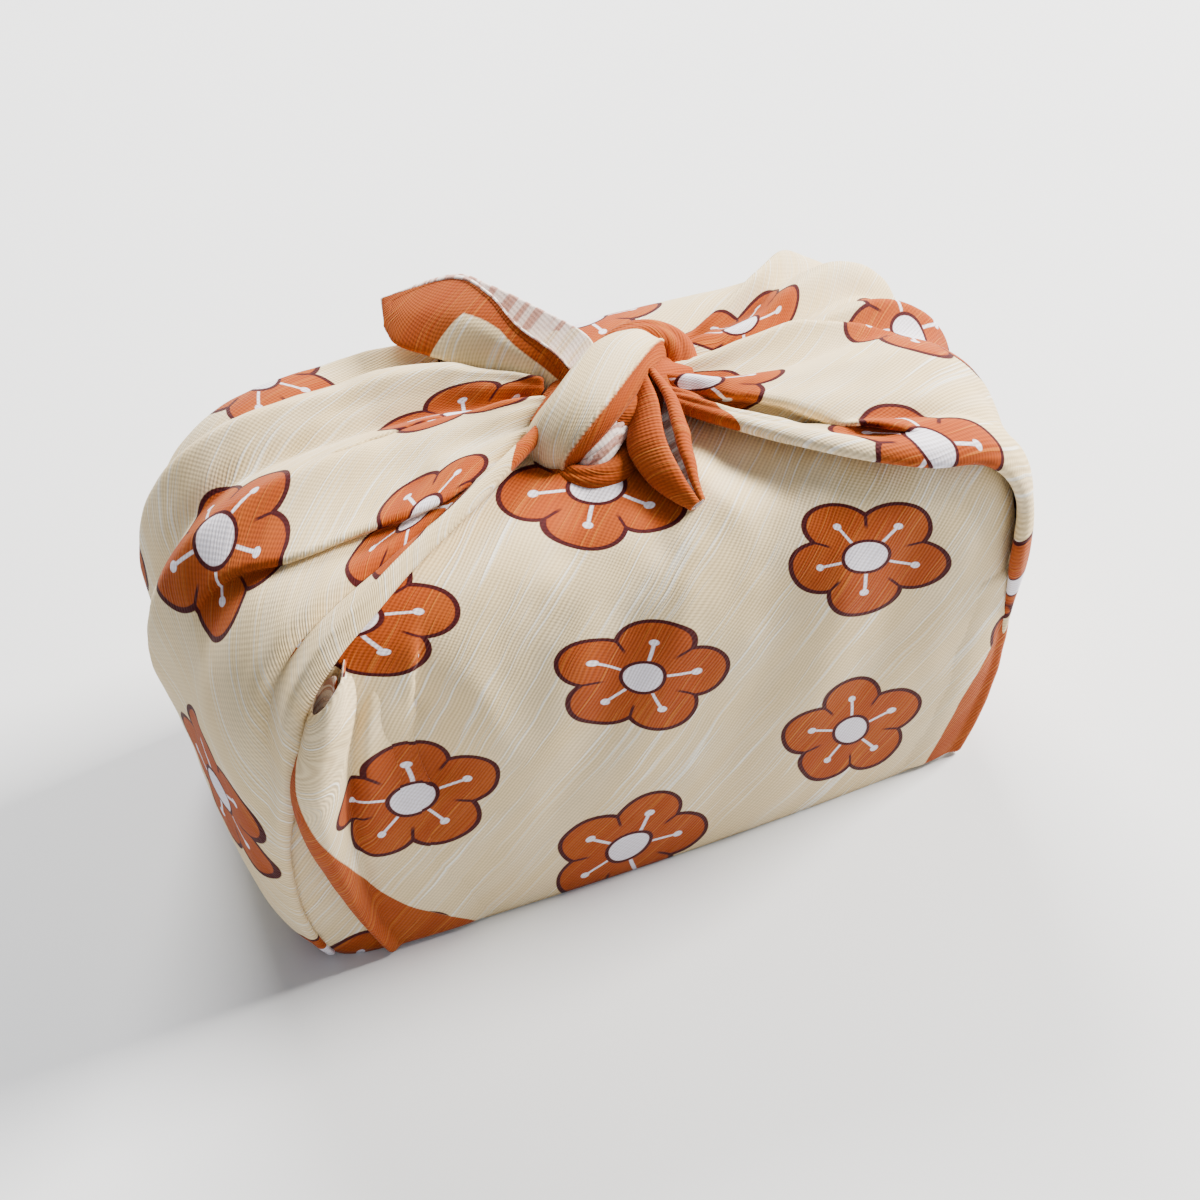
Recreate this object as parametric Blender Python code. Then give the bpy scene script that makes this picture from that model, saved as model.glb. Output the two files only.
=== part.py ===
"""A furoshiki wrap: one square cloth folded over an oblong content and tied on top.

The far corner of the cloth comes up the back, over the top and down the front.
The two side corners come up the ends as wings, run in pleats to the middle of the
top, and are knotted there. Their free ends stand out of the knot as two folded tips.

Lengths are in millimetres, and every mesh is written in metres. The origin is the
middle of the flat base, +X runs along the bundle, -Y is its front and +Z is up.
"""

from collections import namedtuple

import bmesh
import bpy
import numpy as np

MM = 0.001
CLOTH_THICKNESS = 1.8
HIDDEN = -2.0  # a layer's hidden underside lies this far inside the bundle
SUNK = -1.0  # and so does an edge that lies down on the bundle
EDGE_RAMP = 3.0  # a layer rises to its full height over this width
LIP_WIDTH = 14.0  # a free front edge stands off over this width of the wing
LIP_START, LIP_RISE = 0.28, 0.15  # where it leaves the wall, as shares of the wing's length
THINNEST = 0.9
FOLD_FADE = 0.16  # a fold rises to its full height over this share of the wing's length
KNOT_PINCH = 0.45  # folds are this share of their width at the knot
PINCH_REACH = 0.6  # and narrow down to it over this share of the length
SHOULDER = 0.45  # the share of a wing's length that goes up the end of the bundle
NARROW_TIP = 6.0  # a free end narrower than this has thinner layers
GROOVE_PLACE, GROOVE_HALF_ANGLE = 0.15 * np.pi, 0.5  # round a strand of the knot, in radians

# The bundle: half sizes at the base, and how far each side swells out at mid height.
ROOF = 95.0
LEFT_END, LEFT_SWELL = 78.0, 13.0
RIGHT_END, RIGHT_SWELL = 76.0, 8.0
FRONT_SIDE, FRONT_SWELL = 37.5, 2.0
BACK_SIDE, BACK_SWELL = 41.0, 5.0
BASE_BOW = 2.0  # the long base edges bow out by this at their middle
BASE_SQUARENESS = 16.0  # superellipse powers: tight corners at the base, soft ones above
TOP_SQUARENESS = 10.0
END_SHOULDER, FRONT_SHOULDER, BACK_SHOULDER = 10.0, 5.0, 7.0

AROUND = 84
RINGS = 17
FINE_STEPS = 240

CLOTH_COLOUR = (0.80, 0.70, 0.50, 1.0)
CLOTH_ROUGHNESS = 0.85

Fold = namedtuple("Fold", "at_wall at_shoulder at_knot height half_width start")
Station = namedtuple("Station", "front back crown")
Bend = namedtuple("Bend", "place half_width half_height")
Leaf = namedtuple("Leaf", "place width gap")
Margin = namedtuple("Margin", "edge inner")
Section = namedtuple("Section", "place rolled flat")


# --- the bundle that the cloth follows ---------------------------------------


def fullness(points):
    """1 on the bundle's surface, less inside it and more outside."""
    x, y, z = points[..., 0], points[..., 1], points[..., 2]
    height = np.clip(z / ROOF, 0, 1)
    swell = 1 - (2 * height - 1) ** 4
    along = np.clip(np.abs(x) / RIGHT_END, 0, 1)
    across = np.clip(np.abs(y) / BACK_SIDE, 0, 1)
    end = np.where(x < 0, LEFT_END, RIGHT_END)
    end_swell = np.where(x < 0, LEFT_SWELL, RIGHT_SWELL)
    half_length = end + end_swell * swell * (1 - 0.45 * across**2)
    side = np.where(y < 0, FRONT_SIDE, BACK_SIDE)
    bow = 1.12 * (1 - along**2) ** 2 / (1.12 - along**2)  # 1 at the middle, and level at the ends
    side_swell = np.where(y < 0, FRONT_SWELL, BACK_SWELL)
    half_width = side + (BASE_BOW + side_swell * swell) * bow
    power = BASE_SQUARENESS + (TOP_SQUARENESS - BASE_SQUARENESS) * height
    length_share, width_share = np.abs(x / half_length), np.abs(y / half_width)
    plan = (length_share**power + width_share**power) ** (1 / power)
    side_shoulder = np.where(y < 0, FRONT_SHOULDER, BACK_SHOULDER)
    endwise = length_share**4 / (length_share**4 + width_share**4 + 1e-9)
    shoulder = side_shoulder + (END_SHOULDER - side_shoulder) * endwise
    return (plan**shoulder + np.abs(z / ROOF) ** shoulder) ** (1 / shoulder)


def on_bundle(points):
    """The points where rays from the middle of the base through these meet the surface."""
    points = np.asarray(points, float)
    rays = points / np.linalg.norm(points, axis=-1, keepdims=True)
    near = np.zeros(rays.shape[:-1])
    far = np.full(rays.shape[:-1], 200.0)
    for _ in range(36):
        middle = (near + far) / 2
        outside = fullness(rays * middle[..., None]) > 1
        far = np.where(outside, middle, far)
        near = np.where(outside, near, middle)
    return rays * near[..., None]


def outward(points):
    """Unit normals of the bundle at points on it."""
    step = 0.05
    slopes = [
        fullness(points + step * axis) - fullness(points - step * axis) for axis in np.eye(3)
    ]
    normals = np.stack(slopes, -1)
    return normals / np.linalg.norm(normals, axis=-1, keepdims=True)


def evenly(points, count):
    """A polyline's points, spaced evenly along it."""
    lengths = np.linalg.norm(np.diff(points, axis=0), axis=1)
    reached = np.concatenate([[0], np.cumsum(lengths)])
    wanted = np.linspace(0, reached[-1], count)
    return np.stack([np.interp(wanted, reached, points[:, k]) for k in range(3)], -1)


def smooth_path(points, count):
    """A Catmull-Rom curve through the points, with evenly spaced points on it."""
    points = np.asarray(points, float)
    padded = np.vstack([2 * points[0] - points[1], points, 2 * points[-1] - points[-2]])
    curve = []
    for a, b, c, d in zip(padded, padded[1:], padded[2:], padded[3:]):
        t = np.linspace(0, 1, 12, endpoint=False)[:, None]
        cubic = -a + 3 * b - 3 * c + d
        square = 2 * a - 5 * b + 4 * c - d
        curve.append(0.5 * (2 * b + (c - a) * t + square * t**2 + cubic * t**3))
    curve.append(points[-1:])
    return evenly(np.vstack(curve), count)


def eased(values, count):
    """One number for each of count even places, from a short list of them."""
    places = np.linspace(0, 1, len(values))
    return np.interp(np.linspace(0, 1, count), places, values)


# --- meshes ------------------------------------------------------------------


def cloth_material():
    material = bpy.data.materials.new("slub_cloth")
    material.use_nodes = True
    shader = material.node_tree.nodes["Principled BSDF"]
    shader.inputs["Base Color"].default_value = CLOTH_COLOUR
    shader.inputs["Roughness"].default_value = CLOTH_ROUGHNESS
    return material


def new_object(name, points, faces, collection):
    mesh = bpy.data.meshes.new(name)
    mesh.from_pydata([tuple(p * MM) for p in points], [], faces)
    shape = bmesh.new()
    shape.from_mesh(mesh)
    bmesh.ops.recalc_face_normals(shape, faces=shape.faces)
    shape.to_mesh(mesh)
    shape.free()
    mesh.shade_smooth()
    made = bpy.data.objects.new(name, mesh)
    collection.objects.link(made)
    return made


def grid_faces(rows, columns, first=0, wrap=False):
    """Quads of a grid of points that is stored row by row."""
    faces = []
    for i in range(rows - 1):
        for j in range(columns if wrap else columns - 1):
            k = (j + 1) % columns
            a, b = first + i * columns, first + (i + 1) * columns
            faces.append((a + j, a + k, b + k, b + j))
    return faces


def slab(name, upper, lower, collection):
    """A closed layer between two grids of points of the same size."""
    rows, columns = upper.shape[:2]
    points = np.concatenate([upper.reshape(-1, 3), lower.reshape(-1, 3)])
    under = rows * columns
    faces = grid_faces(rows, columns) + grid_faces(rows, columns, under)
    rim = [(0, j) for j in range(columns)]
    rim += [(i, columns - 1) for i in range(1, rows)]
    rim += [(rows - 1, j) for j in range(columns - 2, -1, -1)]
    rim += [(i, 0) for i in range(rows - 2, 0, -1)]
    edge = [i * columns + j for i, j in rim]
    for a, b in zip(edge, edge[1:] + edge[:1]):
        faces.append((a, b, under + b, under + a))
    return new_object(name, points, faces, collection)


def tube(name, rings, collection):
    """A closed solid through rings of points, with a flat cap at each end."""
    count, around = rings.shape[:2]
    faces = grid_faces(count, around, wrap=True)
    faces.append(tuple(range(around)))
    faces.append(tuple(range((count - 1) * around, count * around)))
    return new_object(name, rings.reshape(-1, 3), faces, collection)


def directions(path, side):
    """The path's tangents, and two axes across it: one towards side, and one square to both."""
    along = np.gradient(path, axis=0)
    along /= np.linalg.norm(along, axis=1, keepdims=True)
    across = side - along * np.sum(side * along, axis=1, keepdims=True)
    across /= np.linalg.norm(across, axis=1, keepdims=True)
    return across, np.cross(along, across)


# --- the parts of the wrapped cloth ------------------------------------------


def bundle_body(collection):
    """The wrapped bundle itself: the far corner's cloth over the back, top and front."""
    fine = np.linspace(0, 2 * np.pi, FINE_STEPS, endpoint=False)
    rim = on_bundle(np.stack([np.cos(fine), np.sin(fine), 0 * fine], -1))
    rim = evenly(np.vstack([rim, rim[:1]]), AROUND + 1)[:-1]
    rings = np.empty((RINGS, AROUND, 3))
    for j, foot in enumerate(rim):
        turn = np.linspace(0, np.pi / 2, FINE_STEPS)[:, None]
        flat = foot / np.linalg.norm(foot)
        arc = on_bundle(np.cos(turn) * flat + np.sin(turn) * np.array([0, 0, 1.0]))
        rings[:, j] = evenly(arc, RINGS + 1)[:-1]
    points = np.vstack([rings.reshape(-1, 3), [[0, 0, ROOF], [0, 0, 0]]])
    faces = grid_faces(RINGS, AROUND, wrap=True)
    last = (RINGS - 1) * AROUND
    top, bottom = RINGS * AROUND, RINGS * AROUND + 1
    faces += [(last + j, last + (j + 1) % AROUND, top) for j in range(AROUND)]
    faces += [((j + 1) % AROUND, j, bottom) for j in range(AROUND)]
    return new_object("wrapping_cloth", points, faces, collection)


def pleats(folds, along, across, width):
    """The height of all folds at each place of a wing's grid."""
    total = np.zeros(across.shape)
    narrowing = np.clip((1 - along) / PINCH_REACH, 0, 1)
    for fold in folds:
        places = [fold.at_wall, fold.at_shoulder, fold.at_knot]
        distance = (across - np.interp(along, [0, SHOULDER, 1], places)) * width
        begun = np.clip((along - fold.start) / FOLD_FADE, 0, 1)
        half_width = fold.half_width * (KNOT_PINCH + (1 - KNOT_PINCH) * narrowing)
        total += fold.height * begun * np.exp(-((distance / half_width) ** 2))
    return total


def wing(name, stations, folds, lip, collection, rows=26, columns=22):
    """A side corner of the cloth: up the end, over the shoulder and in pleats to the knot.

    lip is how far the free front edge stands off the bundle over a pocket, 0 for none.
    """
    front = smooth_path([s.front for s in stations], rows)
    back = smooth_path([s.back for s in stations], rows)
    crown = eased([s.crown for s in stations], rows)[:, None]
    width = np.linalg.norm(back - front, axis=1)[:, None]
    along = np.repeat(np.linspace(0, 1, rows)[:, None], columns, 1)
    even = np.linspace(0, 1, columns)[None, :]
    packed = 0.4 * even + 0.3 * (1 - np.cos(np.pi * even))  # closer together at both edges
    across = np.repeat(packed, rows, 0)
    seat = on_bundle(front[:, None] + (back - front)[:, None] * across[..., None])
    normals = outward(seat)
    off_wall = np.clip((along - LIP_START) / LIP_RISE, 0, 1) * (lip > 0)
    free = np.clip(1 - across * width / LIP_WIDTH, 0, 1) ** 1.5 * off_wall
    front_ramp = np.maximum(np.clip(across * width / EDGE_RAMP, 0, 1), off_wall)
    ramp = front_ramp * np.clip((1 - across) * width / EDGE_RAMP, 0, 1)
    rise = crown - SUNK + pleats(folds, along, across, width)
    height = SUNK + rise * ramp + lip * free
    opened = np.clip(free * 1.6, 0, 1)  # the pocket is a little narrower than the lip
    under = HIDDEN + opened * (height - CLOTH_THICKNESS - HIDDEN)
    under = np.minimum(under, height - THINNEST)
    return slab(name, seat + normals * height[..., None], seat + normals * under[..., None], collection)


def band(name, bends, side, groove, collection, count=20, around=14):
    """A gathered strand of cloth, swept along its bends, with a groove of this depth down one side."""
    path = smooth_path([b.place for b in bends], count)
    wide = eased([b.half_width for b in bends], count)[:, None, None]
    high = eased([b.half_height for b in bends], count)[:, None, None]
    across, up = directions(path, np.asarray(side, float))
    turn = np.linspace(0, 2 * np.pi, around, endpoint=False)
    dent = 1 - groove * np.exp(-(((turn - GROOVE_PLACE) / GROOVE_HALF_ANGLE) ** 2))
    out = (np.cos(turn) * dent)[None, :, None] * across[:, None] * wide
    out = out + (np.sin(turn) * dent)[None, :, None] * up[:, None] * high
    return tube(name, path[:, None] + out, collection)


def folded_tip(name, leaves, open_side, collection, count=14, arm=7):
    """A free end of the cloth, folded along its length, with its two layers a little apart."""
    path = smooth_path([leaf.place for leaf in leaves], count)
    width = eased([leaf.width for leaf in leaves], count)[:, None]
    gap = eased([leaf.gap for leaf in leaves], count)[:, None]
    across, square = directions(path, np.asarray(open_side, float))
    reach = np.linspace(0, 1, arm)[None, :]  # from the fold to the open side
    bulge = np.sqrt(reach * (2.2 - 1.5 * reach))
    inner = gap / 2 * bulge
    layer = CLOTH_THICKNESS * (0.55 + 0.45 * np.minimum(1, width / NARROW_TIP))
    outer = (inner + layer) * np.clip(0.35 + reach * 6, 0, 1)  # rounded at the fold
    place_in = (reach - 0.5) * width + CLOTH_THICKNESS * (1 - reach)
    place_out = (reach - 0.5) * width
    loops = [
        (place_out[:, ::-1], outer[:, ::-1]),
        (place_out, -outer),
        (place_in[:, ::-1], -inner[:, ::-1]),
        (place_in[:, 1:], inner[:, 1:]),
    ]
    along_width = np.concatenate([np.broadcast_to(a, b.shape) for a, b in loops], 1)
    off_plane = np.concatenate([b for _, b in loops], 1)
    rings = path[:, None] + along_width[..., None] * across[:, None]
    rings = rings + off_plane[..., None] * square[:, None]
    return tube(name, rings, collection)


def knot_heart(collection):
    """The gathers pressed together in the middle of the knot."""
    bpy.ops.mesh.primitive_uv_sphere_add(segments=16, ring_count=9, radius=1, location=(0, 0, 0))
    heart = bpy.context.object
    heart.name = "knot_heart"
    for vertex in heart.data.vertices:
        sizes = zip(vertex.co, HEART_HALF_SIZES, HEART_PLACE)
        vertex.co = [(c * half_size + place) * MM for c, half_size, place in sizes]
    for old in list(heart.users_collection):
        old.objects.unlink(heart)
    collection.objects.link(heart)
    return heart


LEFT_WING = [
    Station((-74, -34, 2), (-74, 37, 2), -0.6),
    Station((-80, -35, 22), (-81, 39, 22), 0.4),
    Station((-82, -36, 44), (-83, 41, 45), 1.0),
    Station((-79, -37, 66), (-81, 42, 66), 1.4),
    Station((-74, -34.5, 81), (-76, 43, 83), 1.8),
    Station((-66, -32, 89), (-64, 43, 91), 2.0),
    Station((-57, -29, 93), (-51, 42, 94), 2.2),
    Station((-45, -23, 95), (-38, 40, 95), 2.6),
    Station((-34, -16.5, 95), (-26, 35, 96), 3.2),
    Station((-23, -9, 96), (-16, 25, 97), 4.0),
    Station((-13, -2, 97), (-8, 14, 97), 5.0),
]
RIGHT_WING = [
    Station((73, -32, 2), (72, 37, 2), -0.6),
    Station((78, -34, 22), (79, 39, 22), 0.4),
    Station((80, -35, 45), (81, 41, 45), 1.0),
    Station((78, -37, 64), (80, 43, 66), 1.4),
    Station((75, -34, 79), (76, 44, 84), 1.8),
    Station((67, -32, 88), (66, 43, 91), 2.0),
    Station((56, -30.5, 92), (56, 37, 94), 2.2),
    Station((42, -26, 94), (46, 29, 96), 2.6),
    Station((31, -17, 95), (35, 22, 96), 3.2),
    Station((22, -9, 96), (24, 17, 97), 4.0),
    Station((13, -3, 96), (13, 12, 96), 4.6),
]
RIGHT_LIP = 3.5
LEFT_FOLDS = [
    Fold(0.06, 0.06, 0.10, 3.2, 3.0, 0.36),
    Fold(0.15, 0.14, 0.24, -2.0, 4.0, 0.36),
    Fold(0.50, 0.28, 0.30, -3.0, 5.5, 0.20),
    Fold(0.62, 0.50, 0.45, 3.0, 7.0, 0.15),
    Fold(0.70, 0.62, 0.60, -2.6, 4.5, 0.25),
    Fold(0.78, 0.76, 0.74, 2.4, 5.5, 0.20),
    Fold(0.86, 0.86, 0.85, -1.8, 4.0, 0.30),
    Fold(0.94, 0.94, 0.95, 2.4, 3.5, 0.30),
]
RIGHT_FOLDS = [
    Fold(0.08, 0.11, 0.24, -2.4, 3.0, 0.45),
    Fold(0.30, 0.32, 0.38, 2.0, 9.0, 0.25),
    Fold(0.46, 0.48, 0.48, -1.4, 4.5, 0.35),
    Fold(0.54, 0.58, 0.60, 2.8, 4.5, 0.30),
    Fold(0.64, 0.68, 0.70, -2.2, 4.5, 0.30),
    Fold(0.76, 0.79, 0.80, 1.6, 4.5, 0.25),
    Fold(0.86, 0.88, 0.88, -1.8, 3.5, 0.40),
    Fold(0.94, 0.95, 0.95, 3.0, 3.2, 0.30),
]
HEART_PLACE, HEART_HALF_SIZES = (3, 3, 97), (15, 13, 9)
KNOT_BAND = [
    Bend((-10, -2, 91), 5.4, 3.8),
    Bend((-12.5, -4, 97.5), 6.4, 4.0),
    Bend((-5, -2, 103.8), 7.0, 4.2),
    Bend((6, 6.5, 104.8), 7.0, 4.2),
    Bend((13, 12.5, 100), 6.0, 4.0),
    Bend((12, 11, 92), 5.0, 3.8),
]
BACK_LOOP = [
    Bend((3, 14, 93), 3.6, 3.2),
    Bend((9.5, 17, 98.5), 4.0, 3.6),
    Bend((15.5, 15.5, 100.5), 4.3, 3.9),
    Bend((19.5, 10.5, 100), 4.4, 4.0),
    Bend((18.5, 5, 97), 4.2, 3.6),
    Bend((13, 1, 93), 3.8, 3.2),
]
FRONT_LOOP = [
    Bend((-13, -4, 92), 2.6, 2.5),
    Bend((-11.3, -10, 93.8), 2.8, 2.7),
    Bend((-7, -13.2, 94.4), 3.2, 2.9),
    Bend((-2, -12.6, 94.8), 3.2, 2.9),
    Bend((2, -6, 94), 3.0, 2.8),
]
FRONT_TIP = [
    Leaf((9.5, 1, 104.5), 6.0, 1.6),
    Leaf((8, -6.5, 102.2), 8.5, 2.0),
    Leaf((6, -14.3, 99.5), 11.0, 2.6),
    Leaf((6.4, -21.7, 97), 8.6, 2.2),
    Leaf((7.8, -27, 94.8), 4.2, 1.4),
]
BACK_TIP = [
    Leaf((-3, 12, 101), 8.0, 2.0),
    Leaf((-9, 19, 104), 12.0, 2.6),
    Leaf((-17, 27, 106), 17.0, 3.0),
    Leaf((-25, 33, 106), 18.0, 3.0),
    Leaf((-32, 38, 105), 12.0, 2.4),
]
ROLL = [
    Margin((-75.5, -35.5, 84), (-61, -34, 89)),
    Margin((-78, -36, 77), (-57, -37, 79)),
    Margin((-80, -36, 63), (-54, -38, 64)),
    Margin((-79, -37, 45), (-50, -39, 44)),
    Margin((-74, -38, 24), (-43, -39, 22)),
    Margin((-66, -38, 1), (-34, -39, 1)),
]
ROLL_SECTIONS = [
    Section(0.00, 3.4, 1.8),
    Section(0.08, 7.0, 2.6),
    Section(0.25, 8.0, 2.8),
    Section(0.42, 6.0, 2.2),
    Section(0.58, 0.8, 1.5),
    Section(0.75, -0.6, 0.6),
    Section(1.00, SUNK, SUNK),
]
ROLL_OPENING = 0.22  # the share of the roll's length that is open underneath
RIGHT_EDGE = [
    Margin((80, -33, 60), (64, -39, 64)),
    Margin((80, -33, 44), (63, -39, 44)),
    Margin((78, -33, 26), (60, -39, 26)),
    Margin((71, -35, 1), (54, -39, 1)),
]


def margin_seat(margins, places, rows):
    """Points on the bundle from the margins' outer edge to their inner one, and their normals."""
    edge = smooth_path([row.edge for row in margins], rows)
    inner = smooth_path([row.inner for row in margins], rows)
    seat = on_bundle(edge[:, None] + (inner - edge)[:, None] * places[None, :, None])
    return seat, outward(seat)


def front_left_roll(collection, rows=13, columns=10):
    """The front cloth's left edge, folded under into a roll that opens at its top."""
    places = np.linspace(0, 1, columns)
    seat, normals = margin_seat(ROLL, places, rows)
    down = np.linspace(0, 1, rows)[:, None]
    across = [section.place for section in ROLL_SECTIONS]
    rolled = np.interp(places, across, [section.rolled for section in ROLL_SECTIONS])
    flat = np.interp(places, across, [section.flat for section in ROLL_SECTIONS])
    height = rolled * (1 - down) + flat * down
    height[-1] = np.minimum(height[-1], SUNK / 2)
    opened = np.clip(1 - down / ROLL_OPENING, 0, 1) * np.clip(1 - places / 0.4, 0, 1)
    under = HIDDEN + opened * (height - CLOTH_THICKNESS - HIDDEN)
    under = np.minimum(under, height - THINNEST)
    upper, lower = seat + normals * height[..., None], seat + normals * under[..., None]
    return slab("front_left_roll", upper, lower, collection)


def front_right_edge(collection, rows=9, columns=5):
    """The front cloth's right edge, a low step round the front right corner."""
    places = np.linspace(0, 1, columns)
    seat, normals = margin_seat(RIGHT_EDGE, places, rows)
    step = np.interp(places, [0, 0.3, 0.7, 1], [2.2, 2.2, 1.2, SUNK])
    height = np.repeat(step[None, :], rows, 0)
    height[0] = height[-1] = SUNK / 2
    upper, lower = seat + normals * height[..., None], seat + normals * HIDDEN
    return slab("front_right_edge", upper, lower, collection)


def join(base, pieces):
    for piece in pieces:
        piece.hide_render = True
        piece.display_type = "WIRE"
        union = base.modifiers.new("with_" + piece.name, "BOOLEAN")
        union.operation = "UNION"
        union.solver = "EXACT"
        union.object = piece


def main():
    for old in list(bpy.data.objects):
        bpy.data.objects.remove(old)
    parts = bpy.data.collections.new("furoshiki_wrap")
    helpers = bpy.data.collections.new("layers_to_join")
    bpy.context.scene.collection.children.link(parts)
    bpy.context.scene.collection.children.link(helpers)
    helpers.hide_render = True
    cloth = bundle_body(parts)
    pieces = [
        wing("left_wing", LEFT_WING, LEFT_FOLDS, 0.0, helpers),
        wing("right_wing", RIGHT_WING, RIGHT_FOLDS, RIGHT_LIP, helpers),
        front_left_roll(helpers),
        front_right_edge(helpers),
        knot_heart(helpers),
        band("back_loop", BACK_LOOP, (0.4, 0.4, 0.8), 0, helpers, 14, 10),
        band("front_loop", FRONT_LOOP, (0, 0, 1), 0, helpers, 14, 10),
        band("knot_band", KNOT_BAND, (0.65, -0.75, 0), 0.25, helpers),
        folded_tip("front_tip", FRONT_TIP, (1, 0.1, 0.35), helpers),
        folded_tip("back_tip", BACK_TIP, (-0.35, -0.45, -0.9), helpers),
    ]
    join(cloth, pieces)
    cloth.data.materials.append(cloth_material())


main()
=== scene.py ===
"""A bundle wrapped in one square of printed slub cotton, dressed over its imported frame.

The far corner of the cloth comes up the back, over the top and down the front. The two
side corners come up the ends as wings and are knotted on top. Lengths are in millimetres
and every mesh is written in metres. +X runs along the bundle, -Y is its front, +Z is up.
"""

import logging
from dataclasses import dataclass, field
from enum import Enum
from typing import Sequence

import bmesh
import bpy
import numpy as np
from mathutils import Matrix, Vector


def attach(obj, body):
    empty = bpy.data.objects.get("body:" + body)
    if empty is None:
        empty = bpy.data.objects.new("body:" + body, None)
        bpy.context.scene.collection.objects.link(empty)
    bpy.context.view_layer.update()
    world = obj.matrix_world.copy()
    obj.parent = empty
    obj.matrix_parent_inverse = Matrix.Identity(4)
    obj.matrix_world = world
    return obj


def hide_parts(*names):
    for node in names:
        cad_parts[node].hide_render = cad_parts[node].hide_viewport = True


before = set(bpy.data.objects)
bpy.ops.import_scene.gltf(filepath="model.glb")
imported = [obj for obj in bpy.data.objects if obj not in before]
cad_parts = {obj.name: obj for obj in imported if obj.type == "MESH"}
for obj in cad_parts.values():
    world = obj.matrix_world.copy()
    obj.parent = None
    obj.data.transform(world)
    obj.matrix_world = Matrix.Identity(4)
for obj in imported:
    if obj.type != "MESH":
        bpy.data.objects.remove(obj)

MM = 0.001
NODE = "wrapping_cloth"
LINE_POINTS = 40
FAR_FROM_HEM = 60.0
IN_THE_BORDER = -9.0
FIFTH = 1.25664
log = logging.getLogger("furoshiki")

Point = tuple[float, float, float]
Colour = tuple[float, float, float, float]
Grid = np.ndarray


class Held(Enum):
    """How a piece of the cloth is held."""

    FOLDED = "folded"
    DRAPED = "draped"
    GATHERED = "gathered"


# --- curves ------------------------------------------------------------------


def evenly(points: Grid, count: int) -> Grid:
    """Space points evenly along a polyline.

    Args:
        points: The polyline's corners, one a row.
        count: How many points are wanted.

    Returns:
        That many points, at equal steps along the line.
    """
    lengths = np.linalg.norm(np.diff(points, axis=0), axis=1)
    reached = np.concatenate([[0], np.cumsum(lengths)])
    wanted = np.linspace(0, reached[-1], count)
    return np.stack([np.interp(wanted, reached, points[:, k]) for k in range(3)], -1)


def smooth_path(points: Sequence[Point], count: int) -> Grid:
    """Draw a Catmull-Rom curve through points.

    Args:
        points: The points that it passes.
        count: How many points are wanted on it.

    Returns:
        That many points, evenly spaced.
    """
    knots = np.asarray(points, float)
    padded = np.vstack([2 * knots[0] - knots[1], knots, 2 * knots[-1] - knots[-2]])
    curve = []
    for a, b, c, d in zip(padded, padded[1:], padded[2:], padded[3:]):
        t = np.linspace(0, 1, 12, endpoint=False)[:, None]
        cubic = -a + 3 * b - 3 * c + d
        square = 2 * a - 5 * b + 4 * c - d
        curve.append(0.5 * (2 * b + (c - a) * t + square * t**2 + cubic * t**3))
    curve.append(knots[-1:])
    return evenly(np.vstack(curve), count)


def eased(values: Sequence[float], count: int) -> Grid:
    """Spread a short list of numbers over an even run of places, rounded at its corners.

    Args:
        values: The numbers.
        count: How many places there are.

    Returns:
        One number for each place.
    """
    places = np.linspace(0, 1, len(values))
    fine = np.interp(np.linspace(0, 1, count), places, values)
    reach = max(1, count // (4 * len(values)))
    padded = np.concatenate([np.full(reach, fine[0]), fine, np.full(reach, fine[-1])])
    kernel = np.ones(2 * reach + 1) / (2 * reach + 1)
    return np.convolve(padded, kernel, "valid")


def ease_in(value: Grid) -> Grid:
    """A smooth step from 0 to 1."""
    value = np.clip(value, 0, 1)
    return value * value * (3 - 2 * value)


def arc_length(grid: Grid, axis: int) -> Grid:
    """Measure how far each point is along its line.

    Args:
        grid: Rows of points, in millimetres.
        axis: 0 to go from row to row, 1 to go along each row.

    Returns:
        The length run so far at each point.
    """
    steps = np.linalg.norm(np.diff(grid, axis=axis), axis=-1)
    start = np.zeros_like(np.take(steps, [0], axis=axis))
    return np.concatenate([start, np.cumsum(steps, axis=axis)], axis=axis)


def waver(points: Grid, wavelength: float, seed: float) -> Grid:
    """Soft unevenness, between about -1 and 1.

    Args:
        points: Where it is wanted, in millimetres.
        wavelength: The size of the longest waves.
        seed: Shifts the waves, so that two pieces differ.

    Returns:
        One number for each point.
    """
    total = np.zeros(points.shape[:-1])
    for k in range(7):
        turn = 2.4 * k + seed
        way = np.array([np.cos(turn), np.sin(turn * 1.3), np.sin(turn * 0.7 + 1)])
        way /= np.linalg.norm(way)
        total += np.sin(points @ way * 2 * np.pi * (1 + 0.23 * k) / wavelength + 1.7 * k + seed)
    return total / 4.2


# --- the bundle --------------------------------------------------------------


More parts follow.
